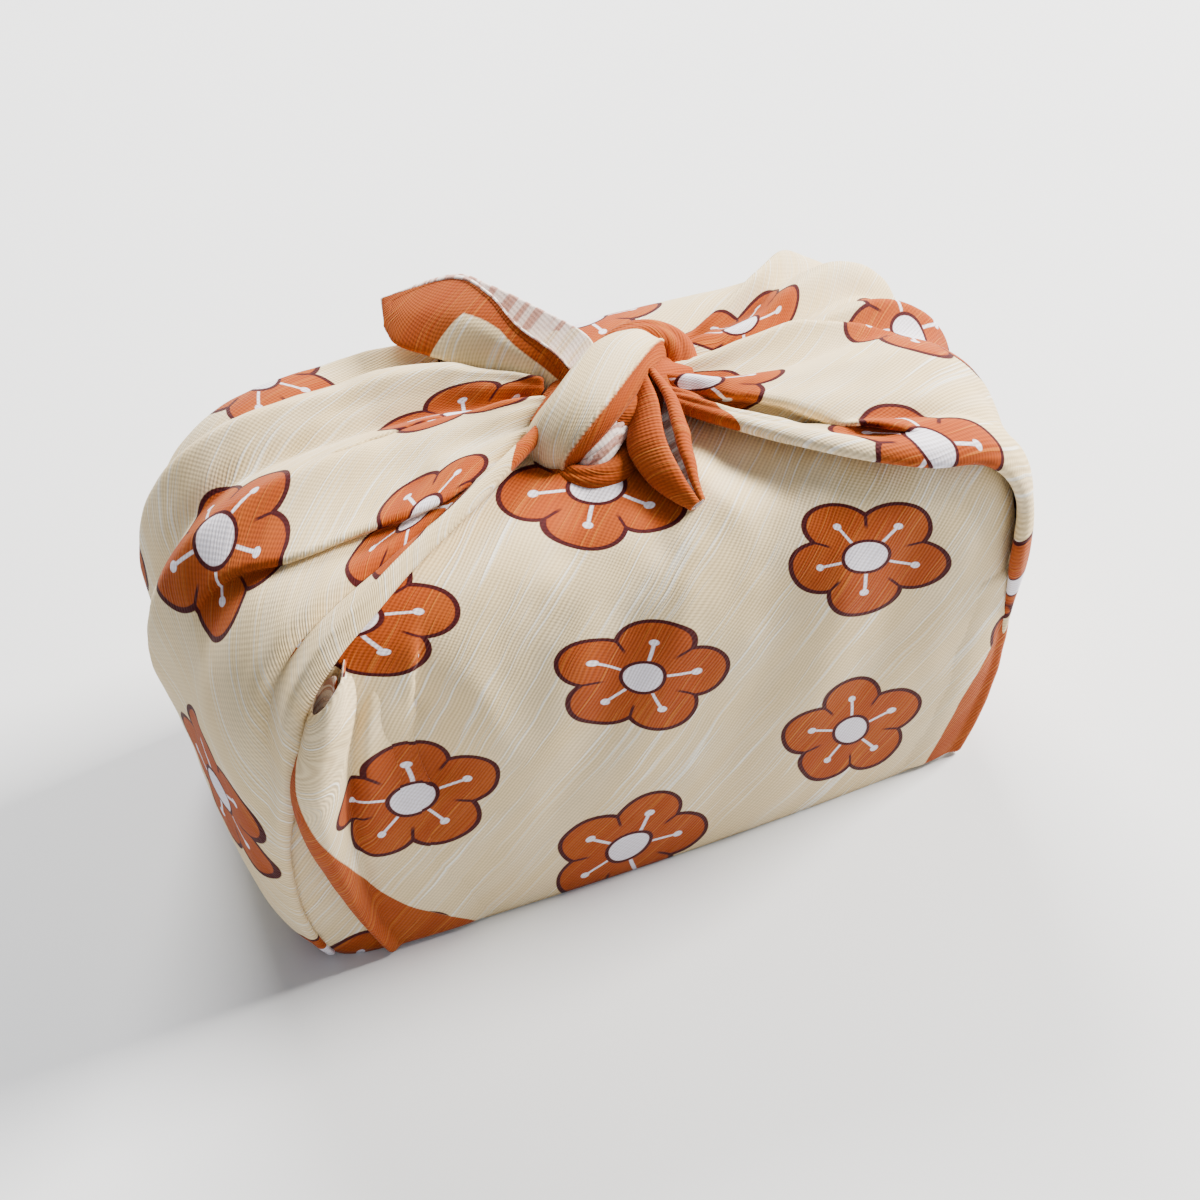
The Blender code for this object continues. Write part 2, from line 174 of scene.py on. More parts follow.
@dataclass(frozen=True)
class Bundle:
    """The rounded oblong that the cloth is folded round, with the sizes of its solid."""

    roof: float = 95.0
    left_end: float = 78.0
    left_swell: float = 13.0
    right_end: float = 76.0
    right_swell: float = 8.0
    front_side: float = 37.5
    front_swell: float = 2.0
    back_side: float = 41.0
    back_swell: float = 5.0
    base_bow: float = 2.0
    base_squareness: float = 16.0
    top_squareness: float = 10.0
    end_shoulder: float = 10.0
    front_shoulder: float = 5.0
    back_shoulder: float = 7.0

    def fullness(self, points: Grid) -> Grid:
        """Compare points with the bundle's surface.

        Args:
            points: Places, in millimetres.

        Returns:
            1 on the surface, less inside it and more outside.
        """
        x, y, z = points[..., 0], points[..., 1], points[..., 2]
        height = np.clip(z / self.roof, 0, 1)
        swell = 1 - (2 * height - 1) ** 4
        along = np.clip(np.abs(x) / self.right_end, 0, 1)
        across = np.clip(np.abs(y) / self.back_side, 0, 1)
        end = np.where(x < 0, self.left_end, self.right_end)
        end_swell = np.where(x < 0, self.left_swell, self.right_swell)
        half_length = end + end_swell * swell * (1 - 0.45 * across**2)
        side = np.where(y < 0, self.front_side, self.back_side)
        bow = 1.12 * (1 - along**2) ** 2 / (1.12 - along**2)
        side_swell = np.where(y < 0, self.front_swell, self.back_swell)
        half_width = side + (self.base_bow + side_swell * swell) * bow
        power = self.base_squareness + (self.top_squareness - self.base_squareness) * height
        length_share, width_share = np.abs(x / half_length), np.abs(y / half_width)
        plan = (length_share**power + width_share**power) ** (1 / power)
        shoulder = np.where(y < 0, self.front_shoulder, self.back_shoulder)
        endwise = length_share**4 / (length_share**4 + width_share**4 + 1e-9)
        shoulder = shoulder + (self.end_shoulder - shoulder) * endwise
        return (plan**shoulder + np.abs(z / self.roof) ** shoulder) ** (1 / shoulder)

    def seat(self, points: Grid) -> Grid:
        """Put points on the bundle's surface.

        Args:
            points: Places that rays from the middle of the base go through.

        Returns:
            Where those rays meet the surface.
        """
        points = np.asarray(points, float)
        rays = points / np.linalg.norm(points, axis=-1, keepdims=True)
        near = np.zeros(rays.shape[:-1])
        far = np.full(rays.shape[:-1], 200.0)
        for _ in range(30):
            middle = (near + far) / 2
            outside = self.fullness(rays * middle[..., None]) > 1
            far = np.where(outside, middle, far)
            near = np.where(outside, near, middle)
        return rays * near[..., None]

    def outward(self, points: Grid) -> Grid:
        """Find which way is out.

        Args:
            points: Places on the bundle.

        Returns:
            The bundle's unit normals there.
        """
        step = 0.05
        slopes = [
            self.fullness(points + step * axis) - self.fullness(points - step * axis)
            for axis in np.eye(3)
        ]
        normals = np.stack(slopes, -1)
        return normals / np.linalg.norm(normals, axis=-1, keepdims=True)


@dataclass(frozen=True)
class Square:
    """The flat cloth, with u along its left-right diagonal and s along the other one."""

    half_diagonal: float = 377.0
    border: float = 16.0
    corner: float = 25.0
    over_top: float = 177.0
    pull: float = 0.29

    def threads(self, u: Grid, s: Grid) -> Grid:
        """Places along the two thread directions, which run parallel to the hems."""
        return np.stack([(u + s) / np.sqrt(2), (u - s) / np.sqrt(2)], -1)

    def flap_place(self, points: Grid, roof: float) -> tuple[Grid, Grid]:
        """Where points of the flap are on the flat cloth.

        Args:
            points: Points on the back, the top or the front of the bundle.
            roof: The height of its top.

        Returns:
            Their u, with the skew that the pull on the front gives it, and their s.
        """
        x, y, z = points[..., 0], points[..., 1], points[..., 2]
        skew = self.pull * z**2 / roof + 1.5 * waver(points, 60, 1.7)
        skew = skew + 0.5 * waver(points, 23, 0.3)
        return x + skew, self.over_top - y - (roof - z) * np.where(y > 0, 1, -1)

    def into_field(self, u: Grid, s: Grid) -> Grid:
        """Measure from the line between the cream field and the border.

        Args:
            u: Places along the left-right diagonal.
            s: Places along the other diagonal.

        Returns:
            How far inside the field each place is, negative in the border.
        """
        threads = np.abs(self.threads(u, s))
        inner = self.half_diagonal / np.sqrt(2) - self.border - self.corner
        past = threads - inner
        rounded = np.hypot(np.maximum(past[..., 0], 0), np.maximum(past[..., 1], 0))
        return self.corner - np.where(past.max(-1) > 0, rounded, past.max(-1))


class Shape(Enum):
    """The cross-section of a crease."""

    SOFT = "a ridge or a trough"
    OVERLAP = "one side lies over the other along a sharp line"


@dataclass(frozen=True)
class Crease:
    """A fold that lies on the bundle.

    A soft one is a ridge if its height is above 0 and a trough if not, and lean makes one
    side of it wider. An overlap raises the side to the right of its line, seen from outside,
    or the left side if its height is below 0, and reach moves that side over the other one.
    """

    line: tuple[Point, ...]
    height: float
    width: float
    lean: float = 0.0
    fade: float = 0.3
    shape: Shape = Shape.SOFT
    reach: float = 0.0

    def relief(self, points: Grid, normals: Grid) -> Grid:
        """How far this fold moves the cloth.

        Args:
            points: Places on the bundle.
            normals: The bundle's unit normals there.

        Returns:
            One move in millimetres for each point: up, and over the low side of an overlap.
        """
        path = smooth_path(self.line, LINE_POINTS)
        tangent = np.gradient(path, axis=0)
        tangent /= np.linalg.norm(tangent, axis=1, keepdims=True)
        flat = points.reshape(-1, 3)
        nearest = np.argmin(((flat[:, None] - path[None]) ** 2).sum(-1), axis=1)
        offset = flat - path[nearest]
        run = (offset * tangent[nearest]).sum(-1)
        sideways = offset - run[:, None] * tangent[nearest]
        length = np.linalg.norm(np.diff(path, axis=0), axis=1).sum()
        place = nearest / (LINE_POINTS - 1) + run / length
        taper = ease_in(place / self.fade) * ease_in((1 - place) / self.fade)
        upright = normals.reshape(-1, 3)
        right = np.cross(tangent[nearest], upright)
        side = (right * sideways).sum(-1)
        width = self.width * (1 + self.lean * np.tanh(-side / self.width))
        distance = np.linalg.norm(sideways, axis=-1)
        if self.shape is Shape.SOFT:
            rise = self.height * taper * np.exp(-((distance / width) ** 1.6))
            return (rise[:, None] * upright).reshape(points.shape)
        rise = self.height * taper * np.tanh(side / 0.6) * np.exp(-distance / width)
        raised = ease_in(side * np.sign(self.height) / 1.2 + 0.5)
        over = -np.sign(self.height) * self.reach * taper * raised * np.exp(-distance / width)
        return (rise[:, None] * upright + over[:, None] * right).reshape(points.shape)


# --- one layer of cloth ------------------------------------------------------


@dataclass
class FlatPlaces:
    """Where a mesh's points are on the flat cloth.

    threads holds places along the two thread directions, into_field and from_hem hold
    distances inside the cream field and from the cut edge, and wrong is 1 on the cloth's
    wrong side and 0 on its face. printed says whether blossoms fall on this part of it.
    """

    threads: Grid
    into_field: Grid
    from_hem: Grid
    wrong: Grid
    printed: bool = True


@dataclass
class Layer:
    """One thin layer of the cloth on a grid, before it becomes a mesh."""

    middle: Grid
    threads: Grid
    into_field: Grid
    from_hem: Grid
    facing: Point
    thickness: float = 0.7
    printed: bool = True
    edge_share: float = 0.4

    def normals(self) -> Grid:
        """Find which way each point of the layer faces.

        Returns:
            Unit normals, on the side that the facing direction names.
        """
        down, over = np.gradient(self.middle, axis=0), np.gradient(self.middle, axis=1)
        normals = np.cross(down, over)
        normals /= np.linalg.norm(normals, axis=-1, keepdims=True) + 1e-12
        if (normals.reshape(-1, 3) @ np.asarray(self.facing, float)).mean() < 0:
            normals = -normals
        return normals

    def build(self, name: str, finish: "PrintedCloth") -> bpy.types.Object:
        """Make the closed mesh of the layer.

        Args:
            name: The piece's name.
            finish: The cloth's finish.

        Returns:
            The new object, in its place.
        """
        rows, columns = self.middle.shape[:2]
        half = np.full((rows, columns), self.thickness / 2)
        half[[0, -1]] *= self.edge_share
        half[:, [0, -1]] *= self.edge_share
        offset = self.normals() * half[..., None]
        walls = (self.middle + offset, self.middle - offset)
        points = np.concatenate([wall.reshape(-1, 3) for wall in walls])
        under = rows * columns
        faces = grid_faces(rows, columns) + grid_faces(rows, columns, under)
        rim = [(0, j) for j in range(columns)]
        rim += [(i, columns - 1) for i in range(1, rows)]
        rim += [(rows - 1, j) for j in range(columns - 2, -1, -1)]
        rim += [(i, 0) for i in range(rows - 2, 0, -1)]
        edge = [i * columns + j for i, j in rim]
        faces += [(a, b, under + b, under + a) for a, b in zip(edge, edge[1:] + edge[:1])]
        flat = FlatPlaces(
            np.tile(self.threads.reshape(-1, 2), (2, 1)),
            np.tile(self.into_field.ravel(), 2),
            np.tile(self.from_hem.ravel(), 2),
            np.repeat([0.0, 1.0], under),
            self.printed,
        )
        return new_piece(name, points, faces, flat, finish)


def grid_faces(
    rows: int, columns: int, first: int = 0, wrap: bool = False
) -> list[tuple[int, ...]]:
    """List the quads of a grid of points.

    Args:
        rows: How many rows of points it has.
        columns: How many points a row has.
        first: The number of its first point.
        wrap: Whether each row is a closed loop.

    Returns:
        Four point numbers for each quad.
    """
    faces = []
    for i in range(rows - 1):
        for j in range(columns if wrap else columns - 1):
            k = (j + 1) % columns
            a, b = first + i * columns, first + (i + 1) * columns
            faces.append((a + j, a + k, b + k, b + j))
    return faces


def new_piece(
    name: str,
    points: Grid,
    faces: list[tuple[int, ...]],
    flat: FlatPlaces,
    finish: "PrintedCloth",
) -> bpy.types.Object:
    """Make a mesh object with the cloth's flat places on it.

    Args:
        name: The piece's name.
        points: Its points, in millimetres.
        faces: Point numbers of each face.
        flat: Where the points are on the flat cloth.
        finish: The cloth's finish.

    Returns:
        The new object.
    """
    mesh = bpy.data.meshes.new(name)
    mesh.from_pydata((points * MM).tolist(), [], faces)
    shape = bmesh.new()
    shape.from_mesh(mesh)
    bmesh.ops.recalc_face_normals(shape, faces=shape.faces)
    shape.to_mesh(mesh)
    shape.free()
    mesh.shade_smooth()
    corners = np.empty(len(mesh.loops), int)
    mesh.loops.foreach_get("vertex_index", corners)
    layer = mesh.uv_layers.new(name="cloth")
    layer.data.foreach_set("uv", (flat.threads * MM)[corners].astype(np.float32).ravel())
    numbers = {
        "field": flat.into_field,
        "hem": flat.from_hem,
        "wrong": flat.wrong,
        "print": np.full(len(points), float(flat.printed)),
    }
    for key, values in numbers.items():
        attribute = mesh.attributes.new(key, "FLOAT", "POINT")
        attribute.data.foreach_set("value", values.astype(np.float32))
    made = bpy.data.objects.new(name, mesh)
    bpy.context.scene.collection.objects.link(made)
    mesh.materials.append(finish.material())
    return made


class ClothPiece:
    """A piece of the cloth, with the metres of flat cloth in it and the way it is held."""

    name: str
    flat: tuple[float, float]
    held: Held = Held.FOLDED

    def layer(self) -> Layer:
        """Lay the piece out, in each kind of piece's own way."""
        raise NotImplementedError

    def shape(self, finish: "PrintedCloth") -> bpy.types.Object:
        """Make the piece's object, here as one thin layer."""
        return self.layer().build(self.name, finish)

    def build(self, finish: "PrintedCloth", rests_on: Sequence[str]) -> bpy.types.Object:
        """Make the piece and parent it to the root's empty.

        Args:
            finish: The cloth's finish.
            rests_on: The pieces or nodes that it lies on. Not used.

        Returns:
            The new piece.
        """
        piece = self.shape(finish)
        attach(piece, "root")
        log.info("%s: %d faces", piece.name, len(piece.data.polygons))
        return piece


# --- the finish --------------------------------------------------------------


def linear(red: int, green: int, blue: int) -> Colour:
    """Turn a screen colour into one that the shader takes.

    Args:
        red: Its red, from 0 to 255.
        green: Its green.
        blue: Its blue.

    Returns:
        The colour in linear light, with an alpha of 1.
    """
    share = np.array([red, green, blue]) / 255
    value = np.where(share <= 0.04045, share / 12.92, ((share + 0.055) / 1.055) ** 2.4)
    return (float(value[0]), float(value[1]), float(value[2]), 1.0)


class Wire:
    """A number that flows in a node tree. Arithmetic on it adds the nodes."""

    def __init__(self, tree: bpy.types.NodeTree, socket: bpy.types.NodeSocket) -> None:
        """Hold the tree and the socket that the number comes from."""
        self.tree = tree
        self.socket = socket

    def do(self, operation: str, *others: "Wire | float") -> "Wire":
        """Add a Math node.

        Args:
            operation: Its operation.
            others: Its second and third inputs.

        Returns:
            What comes out of it.
        """
        node = self.tree.nodes.new("ShaderNodeMath")
        node.operation = operation
        self.tree.links.new(self.socket, node.inputs[0])
        for k, other in enumerate(others, 1):
            if isinstance(other, Wire):
                self.tree.links.new(other.socket, node.inputs[k])
            else:
                node.inputs[k].default_value = other
        return Wire(self.tree, node.outputs[0])

    def __add__(self, other: "Wire | float") -> "Wire":
        """The sum."""
        return self.do("ADD", other)

    def __sub__(self, other: "Wire | float") -> "Wire":
        """The difference."""
        return self.do("SUBTRACT", other)

    def __mul__(self, other: "Wire | float") -> "Wire":
        """The product."""
        return self.do("MULTIPLY", other)

    def above(self, level: float, soft: float) -> "Wire":
        """Cut the number at a level.

        Args:
            level: The level.
            soft: The width of the change.

        Returns:
            1 above the level and 0 under it.
        """
        node = self.tree.nodes.new("ShaderNodeMapRange")
        node.interpolation_type = "SMOOTHSTEP"
        self.tree.links.new(self.socket, node.inputs["Value"])
        node.inputs["From Min"].default_value = level - soft / 2
        node.inputs["From Max"].default_value = level + soft / 2
        return Wire(self.tree, node.outputs["Result"])

    def below(self, level: float, soft: float) -> "Wire":
        """1 under a level and 0 above it."""
        return self.above(level, soft).do("MULTIPLY_ADD", -1.0, 1.0)


@dataclass(frozen=True)
class PrintedCloth:
    """Slub cotton with a cream field, an orange border and blossoms.

    Lengths are in metres. The petals' and the middle's places and sizes are shares of the
    blossom's radius.
    """

    cream: tuple[int, int, int] = (238, 216, 170)
    warm: tuple[int, int, int] = (232, 204, 150)
    thick: tuple[int, int, int] = (255, 250, 236)
    orange: tuple[int, int, int] = (162, 68, 0)
    pale_orange: tuple[int, int, int] = (206, 122, 44)
    outline: tuple[int, int, int] = (66, 0, 6)
    white: tuple[int, int, int] = (240, 236, 248)
    # gap is painted shade: the darker colour multiplied into the weave's troughs between the
    # threads
    gap: tuple[int, int, int] = (150, 128, 104)
    wrong_side: tuple[int, int, int] = (244, 232, 226)
    stitching: tuple[int, int, int] = (110, 44, 14)
    rib_pitch: float = 0.00074
    cross_pitch: float = 0.0009
    motif_spacing: tuple[float, float] = (0.056, 0.049)
    motif_radius: float = 0.0178
    petal_place: float = 0.58
    petal_size: float = 0.42
    web_size: float = 0.52
    middle_size: float = 0.27
    line: float = 0.0011
    sheen: float = 0.05
    made: list[bpy.types.Material] = field(default_factory=list)

    def material(self) -> bpy.types.Material:
        """The cloth's material, made on first use."""
        if not self.made:
            self.made.append(self.build())
        return self.made[0]

    def noise(
        self,
        tree: bpy.types.NodeTree,
        p: Wire,
        q: Wire,
        cell: tuple[float, float],
        detail: float = 2.0,
    ) -> Wire:
        """Noise that is stretched along the threads.

        Args:
            tree: The material's tree.
            p: The place across the ribs.
            q: The place along them.
            cell: The size of its grains in both directions.
            detail: Its levels of detail.

        Returns:
            A number between 0 and 1.
        """
        joined = tree.nodes.new("ShaderNodeCombineXYZ")
        tree.links.new((p * (1 / cell[0])).socket, joined.inputs[0])
        tree.links.new((q * (1 / cell[1])).socket, joined.inputs[1])
        node = tree.nodes.new("ShaderNodeTexNoise")
        node.noise_dimensions = "2D"
        node.inputs["Scale"].default_value = 1.0
        node.inputs["Detail"].default_value = detail
        tree.links.new(joined.outputs[0], node.inputs["Vector"])
        return Wire(tree, node.outputs["Factor"] if "Factor" in node.outputs else node.outputs[0])

    def blossom(self, tree: bpy.types.NodeTree, p: Wire, q: Wire) -> tuple[Wire, Wire, Wire]:
        """Five-petalled blossoms on a staggered lattice, each turned its own way.

        Args:
            tree: The material's tree.
            p: The place along one thread direction.
            q: The place along the other.

        Returns:
            Where the petals are, where their outline is, and where the white middle is.
        """
        wide, high = self.motif_spacing
        radius = self.motif_radius
        row = (q * (1 / high)).do("FLOOR")
        shifted = p * (1 / wide) + row.do("MODULO", 2.0).do("ABSOLUTE") * 0.5 + 0.32
        column = shifted.do("FLOOR")
        cell = tree.nodes.new("ShaderNodeCombineXYZ")
        tree.links.new(column.socket, cell.inputs[0])
        tree.links.new(row.socket, cell.inputs[1])
        chance = tree.nodes.new("ShaderNodeTexWhiteNoise")
        chance.noise_dimensions = "2D"
        tree.links.new(cell.outputs[0], chance.inputs["Vector"])
        turn = Wire(tree, chance.outputs["Value"]) * 6.2832
        x = (shifted - column - 0.5) * wide
        y = (q * (1 / high) - row - 0.5) * high
        away = (x * x + y * y).do("SQRT")
        angle = y.do("ARCTAN2", x) + turn
        folded = (angle.do("FLOORED_MODULO", FIFTH) - FIFTH / 2).do("ABSOLUTE")
        fx, fy = away * folded.do("COSINE"), away * folded.do("SINE")
        dx = fx - self.petal_place * radius
        petal = (dx * dx + fy * fy).do("SQRT") - self.petal_size * radius
        outside = petal.do("MINIMUM", away - self.web_size * radius)
        soft = 0.00025
        inside = outside.below(0.0, soft)
        rim = outside.do("ABSOLUTE").below(self.line / 2, soft)
        gap = away * (folded - FIFTH / 2).do("ABSOLUTE").do("SINE")
        seam = gap.below(self.line * 0.32, soft) * away.above(0.5 * radius, 0.002) * inside
        middle = away.below(self.middle_size * radius, soft)
        ring = (away - self.middle_size * radius).do("ABSOLUTE").below(self.line * 0.4, soft)
        stamen_x = fx - 0.62 * radius
        stamen = (stamen_x * stamen_x + fy * fy).do("SQRT").below(0.055 * radius, soft)
        thread = fy.below(0.00035, soft) * away.above(0.3 * radius, soft)
        thread = thread * away.below(0.6 * radius, soft)
        lines = rim.do("MAXIMUM", seam).do("MAXIMUM", ring)
        return inside, lines, middle.do("MAXIMUM", stamen).do("MAXIMUM", thread)

    def mixed(
        self,
        tree: bpy.types.NodeTree,
        share: Wire,
        first: "Colour | bpy.types.NodeSocket",
        second: "Colour | bpy.types.NodeSocket",
        blend: str = "MIX",
    ) -> bpy.types.NodeSocket:
        """Mix two colours.

        Args:
            tree: The material's tree.
            share: How much of the second there is.
            first: A colour or a colour socket.
            second: Another one.
            blend: How the second acts on the first.

        Returns:
            The socket of the mixed colour.
        """
        node = tree.nodes.new("ShaderNodeMix")
        node.data_type = "RGBA"
        node.blend_type = blend
        tree.links.new(share.socket, node.inputs[0])
        for socket, value in ((node.inputs[6], first), (node.inputs[7], second)):
            if isinstance(value, bpy.types.NodeSocket):
                tree.links.new(value, socket)
            else:
                socket.default_value = value
        return node.outputs[2]

    def attribute(self, tree: bpy.types.NodeTree, name: str) -> Wire:
        """Read one of the mesh's own numbers.

        Args:
            tree: The material's tree.
            name: The number's name.

        Returns:
            The number at each point.
        """
        node = tree.nodes.new("ShaderNodeAttribute")
        node.attribute_name = name
        return Wire(tree, node.outputs["Fac"])

    def build(self) -> bpy.types.Material:
        """Make the whole node tree.

        Returns:
            The new material.
        """
        made = bpy.data.materials.new("printed_slub_cotton")
        made.use_nodes = True
        tree = made.node_tree
        shader = tree.nodes["Principled BSDF"]
        place = tree.nodes.new("ShaderNodeUVMap")
        place.uv_map = "cloth"
        parted = tree.nodes.new("ShaderNodeSeparateXYZ")
        tree.links.new(place.outputs[0], parted.inputs[0])
        p, q = Wire(tree, parted.outputs[0]), Wire(tree, parted.outputs[1])
        in_field = self.attribute(tree, "field")
        hem = self.attribute(tree, "hem")
        wrong = self.attribute(tree, "wrong").above(0.5, 0.1)

        wobble = self.noise(tree, p, q, (0.006, 0.03)) * 0.0012
        rib = ((p + wobble) * (2 * np.pi / self.rib_pitch)).do("SINE")
        cross = (q * (2 * np.pi / self.cross_pitch)).do("SINE")
        uneven = self.noise(tree, p + wobble, q, (0.0007, 0.055), 1.0)
        slub = uneven.above(0.66, 0.07)
        faint = self.noise(tree, p, q, (0.006, 0.06), 1.0).above(0.54, 0.25)
        blotch = self.noise(tree, p, q, (0.03, 0.03), 1.0)

        petals, lines, middle = self.blossom(tree, p, q)
        on_field = in_field.above(0.0, 0.35)
        printed = on_field * self.attribute(tree, "print").above(0.5, 0.1)
        petals, lines, middle = petals * printed, lines * printed, middle * printed
        warmer = blotch.above(0.5, 0.6) * 0.4
        cream = self.mixed(tree, warmer, linear(*self.cream), linear(*self.warm))
        cream = self.mixed(tree, slub * 0.85 + faint * 0.12, cream, linear(*self.thick))
        paler = slub * 0.42 + faint * 0.12
        orange = self.mixed(tree, paler, linear(*self.orange), linear(*self.pale_orange))
        dyed = self.mixed(tree, petals, cream, orange)
        dyed = self.mixed(tree, on_field, orange, dyed)
        dyed = self.mixed(tree, lines, dyed, linear(*self.outline))
        unlined = lines.do("MULTIPLY_ADD", -1.0, 1.0)
        dyed = self.mixed(tree, middle * unlined, dyed, linear(*self.white))
        # Painted shade: the rib and cross-thread troughs are darkened towards the gap colour
        painted_trough_shade = (rib * -0.5 + 0.5) * 0.30 + (cross * -0.5 + 0.5) * 0.10
        toned = self.mixed(tree, painted_trough_shade, dyed, linear(*self.gap), "MULTIPLY")
        streaks = self.noise(tree, p, q, (0.0021, 0.05), 1.0)
        hidden = streaks.above(0.5, 0.09) * 0.55 + 0.30
        back = self.mixed(tree, hidden, toned, linear(*self.wrong_side))
        colour = self.mixed(tree, wrong, toned, back)
        dash = (q * (1 / 0.0021)).do("FRACT").below(0.6, 0.1)
        stitch = (hem - 2.3).do("ABSOLUTE").below(0.2, 0.1) * dash
        colour = self.mixed(tree, stitch * 0.45, colour, linear(*self.stitching))
        tree.links.new(colour, shader.inputs["Base Color"])

        ridge = hem.below(2.1, 0.5) * 0.00016
        height = rib * 0.00004 + cross * 0.000016 + slub * 0.00008 + uneven * 0.00005 + ridge
        bump = tree.nodes.new("ShaderNodeBump")
        bump.inputs["Strength"].default_value = 0.8
        bump.inputs["Distance"].default_value = 1.0
        tree.links.new(height.socket, bump.inputs["Height"])
        tree.links.new(bump.outputs[0], shader.inputs["Normal"])
        rough = uneven * 0.16 + 0.74
        tree.links.new(rough.socket, shader.inputs["Roughness"])
        shader.inputs["Sheen Weight"].default_value = self.sheen
        shader.inputs["Sheen Roughness"].default_value = 0.45
        shader.inputs["Specular IOR Level"].default_value = 0.22
        return made


# --- the wrapped body --------------------------------------------------------


@dataclass
class WrappedFlap(ClothPiece):
    """The far corner's cloth over the back, the top and the front, closed under the base."""

    name = "wrapped_flap"
    bundle: Bundle
    square: Square
    around: int = 380
    rings: int = 104
    thickness: float = 0.8
    flat: tuple[float, float] = (0.36, 0.20)
    creases: tuple[Crease, ...] = (
        Crease(((-57, -37, 84), (-53, -39, 66), (-50, -39, 44)), -2.0, 4.5, 0.3),
        Crease(
            ((-50, -33, 92), (-54, -37, 80), (-55, -38, 64)),
            1.2,
            5.0,
            shape=Shape.OVERLAP,
            reach=1.6,
        ),
        Crease(((-47, -36, 88), (-40, -39, 66), (-34, -40, 40)), 1.5, 6.5, -0.3),
        Crease(((-20, -28, 93), (-24, -38, 72), (-34, -40, 40), (-42, -39, 14)), 1.3, 8.0, 0.2),
        Crease(((-10, -26, 94), (-12, -38, 74), (-22, -40, 44), (-34, -40, 16)), -1.0, 6.0, 0.2),
        Crease(((4, -22, 95), (2, -36, 84), (-8, -40, 52), (-20, -40, 20)), 0.9, 7.0, 0.2),
        Crease(((20, -30, 92), (22, -38, 72), (16, -40, 40), (4, -40, 10)), -1.3, 8.0),
        Crease(((36, -32, 91), (34, -39, 64), (24, -40, 30)), 1.2, 8.0),
        Crease(((52, -36, 88), (50, -39, 62), (42, -40, 30)), -1.2, 8.0),
        Crease(((66, -36, 84), (64, -39, 60), (58, -39, 30)), 1.0, 7.0),
        Crease(((8, -12, 95), (12, -24, 94), (20, -34, 89)), 1.5, 4.5),
        Crease(((15, -12, 95), (22, -22, 94), (32, -32, 90)), -1.3, 4.5),
        Crease(((-8, -12, 95), (-16, -24, 94), (-24, -33, 90)), -1.3, 4.5),
        Crease(((0, -14, 95), (0, -26, 94), (-2, -36, 86)), -0.9, 3.5),
    )

    def shell(self, around: int, rings: int) -> Grid:
        """Rings of points over the bundle, from its base edge to near the top's middle.

        Args:
            around: How many points a ring has.
            rings: How many rings there are.

        Returns:
            The points, ring by ring.
        """
        fine = np.linspace(0, 2 * np.pi, 1440, endpoint=False)
        rim = self.bundle.seat(np.stack([np.cos(fine), np.sin(fine), 0 * fine], -1))
        rim = evenly(np.vstack([rim, rim[:1]]), around + 1)[:-1]
        flat = rim / np.linalg.norm(rim, axis=1, keepdims=True)
        turn = np.linspace(0, np.pi / 2, 200)[:, None, None]
        arcs = self.bundle.seat(np.cos(turn) * flat + np.sin(turn) * np.array([0, 0, 1.0]))
        return np.stack([evenly(arcs[:, j], rings + 1)[:-1] for j in range(around)], 1)

    def folded(self, seat: Grid, depth: float) -> Grid:
        """Move points on the bundle by the cloth's folds.

        Args:
            seat: The points.
            depth: How far inside the cloth's face they end up.

        Returns:
            The moved points.
        """
        normals = self.bundle.outward(seat)
        moved = sum(crease.relief(seat, normals) for crease in self.creases)
        high = 0.30 * waver(seat, 38, 0.4) + 0.10 * waver(seat, 13, 2.0)
        moved = (moved + high[..., None] * normals) * ease_in(seat[..., 2] / 10)[..., None]
        return seat + moved - depth * normals

    def shape(self, finish: PrintedCloth) -> bpy.types.Object:
        """Make the closed shell, with an inner wall one cloth's thickness inside it.

        Args:
            finish: The cloth's finish.

        Returns:
            The new object, which takes the place of the frame's node.
        """
        outer = self.folded(self.shell(self.around, self.rings), 0)
        outer[..., 2] = np.maximum(outer[..., 2], 0)
        inner = self.folded(self.shell(self.around // 2, self.rings // 2), self.thickness)
        inner[..., 2] = np.maximum(inner[..., 2], self.thickness)
        points, faces = [], []
        for grid, depth in ((outer, 0.0), (inner, self.thickness)):
            first = sum(len(p) for p in points)
            rings, around = grid.shape[:2]
            ends = np.array([[0, 0, self.bundle.roof - depth], [0, 0, depth]])
            points += [grid.reshape(-1, 3), ends]
            top = first + rings * around
            last, bottom = top - around, top + 1
            faces += grid_faces(rings, around, first, wrap=True)
            faces += [(last + j, last + (j + 1) % around, top) for j in range(around)]
            faces += [(first + (j + 1) % around, first + j, bottom) for j in range(around)]
        every = np.concatenate(points)
        outside = outer.size // 3 + 2
        u, s = self.square.flap_place(every, self.bundle.roof)
        far = np.full(len(every), FAR_FROM_HEM)
        wrong = (np.arange(len(every)) >= outside).astype(float)
        flat = FlatPlaces(self.square.threads(u, s), far, far, wrong)
        piece = new_piece(self.name, every, faces, flat, finish)
        turn_in(piece, outside)
        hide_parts(NODE)
        return piece


def turn_in(piece: bpy.types.Object, first: int) -> None:
    """Turn the faces of a closed inner wall towards the hollow that it bounds.

    Args:
        piece: The piece.
        first: The number of the inner wall's first point.
    """
    shape = bmesh.new()
    shape.from_mesh(piece.data)
    inner = [face for face in shape.faces if face.verts[0].index >= first]
    bmesh.ops.reverse_faces(shape, faces=inner)
    shape.to_mesh(piece.data)
    shape.free()


# --- the wings ---------------------------------------------------------------


@dataclass(frozen=True)
class Station:
    """One cross-line of a wing: its front and back edges, and how high its middle lies."""

    front: Point
    back: Point
    crown: float


@dataclass(frozen=True)
class Pleat:
    """A fold that runs the whole length of a wing, placed as shares of its width."""

    at_wall: float
    at_shoulder: float
    at_knot: float
    height: float
    half_width: float
    start: float
    lean: float = 0.0


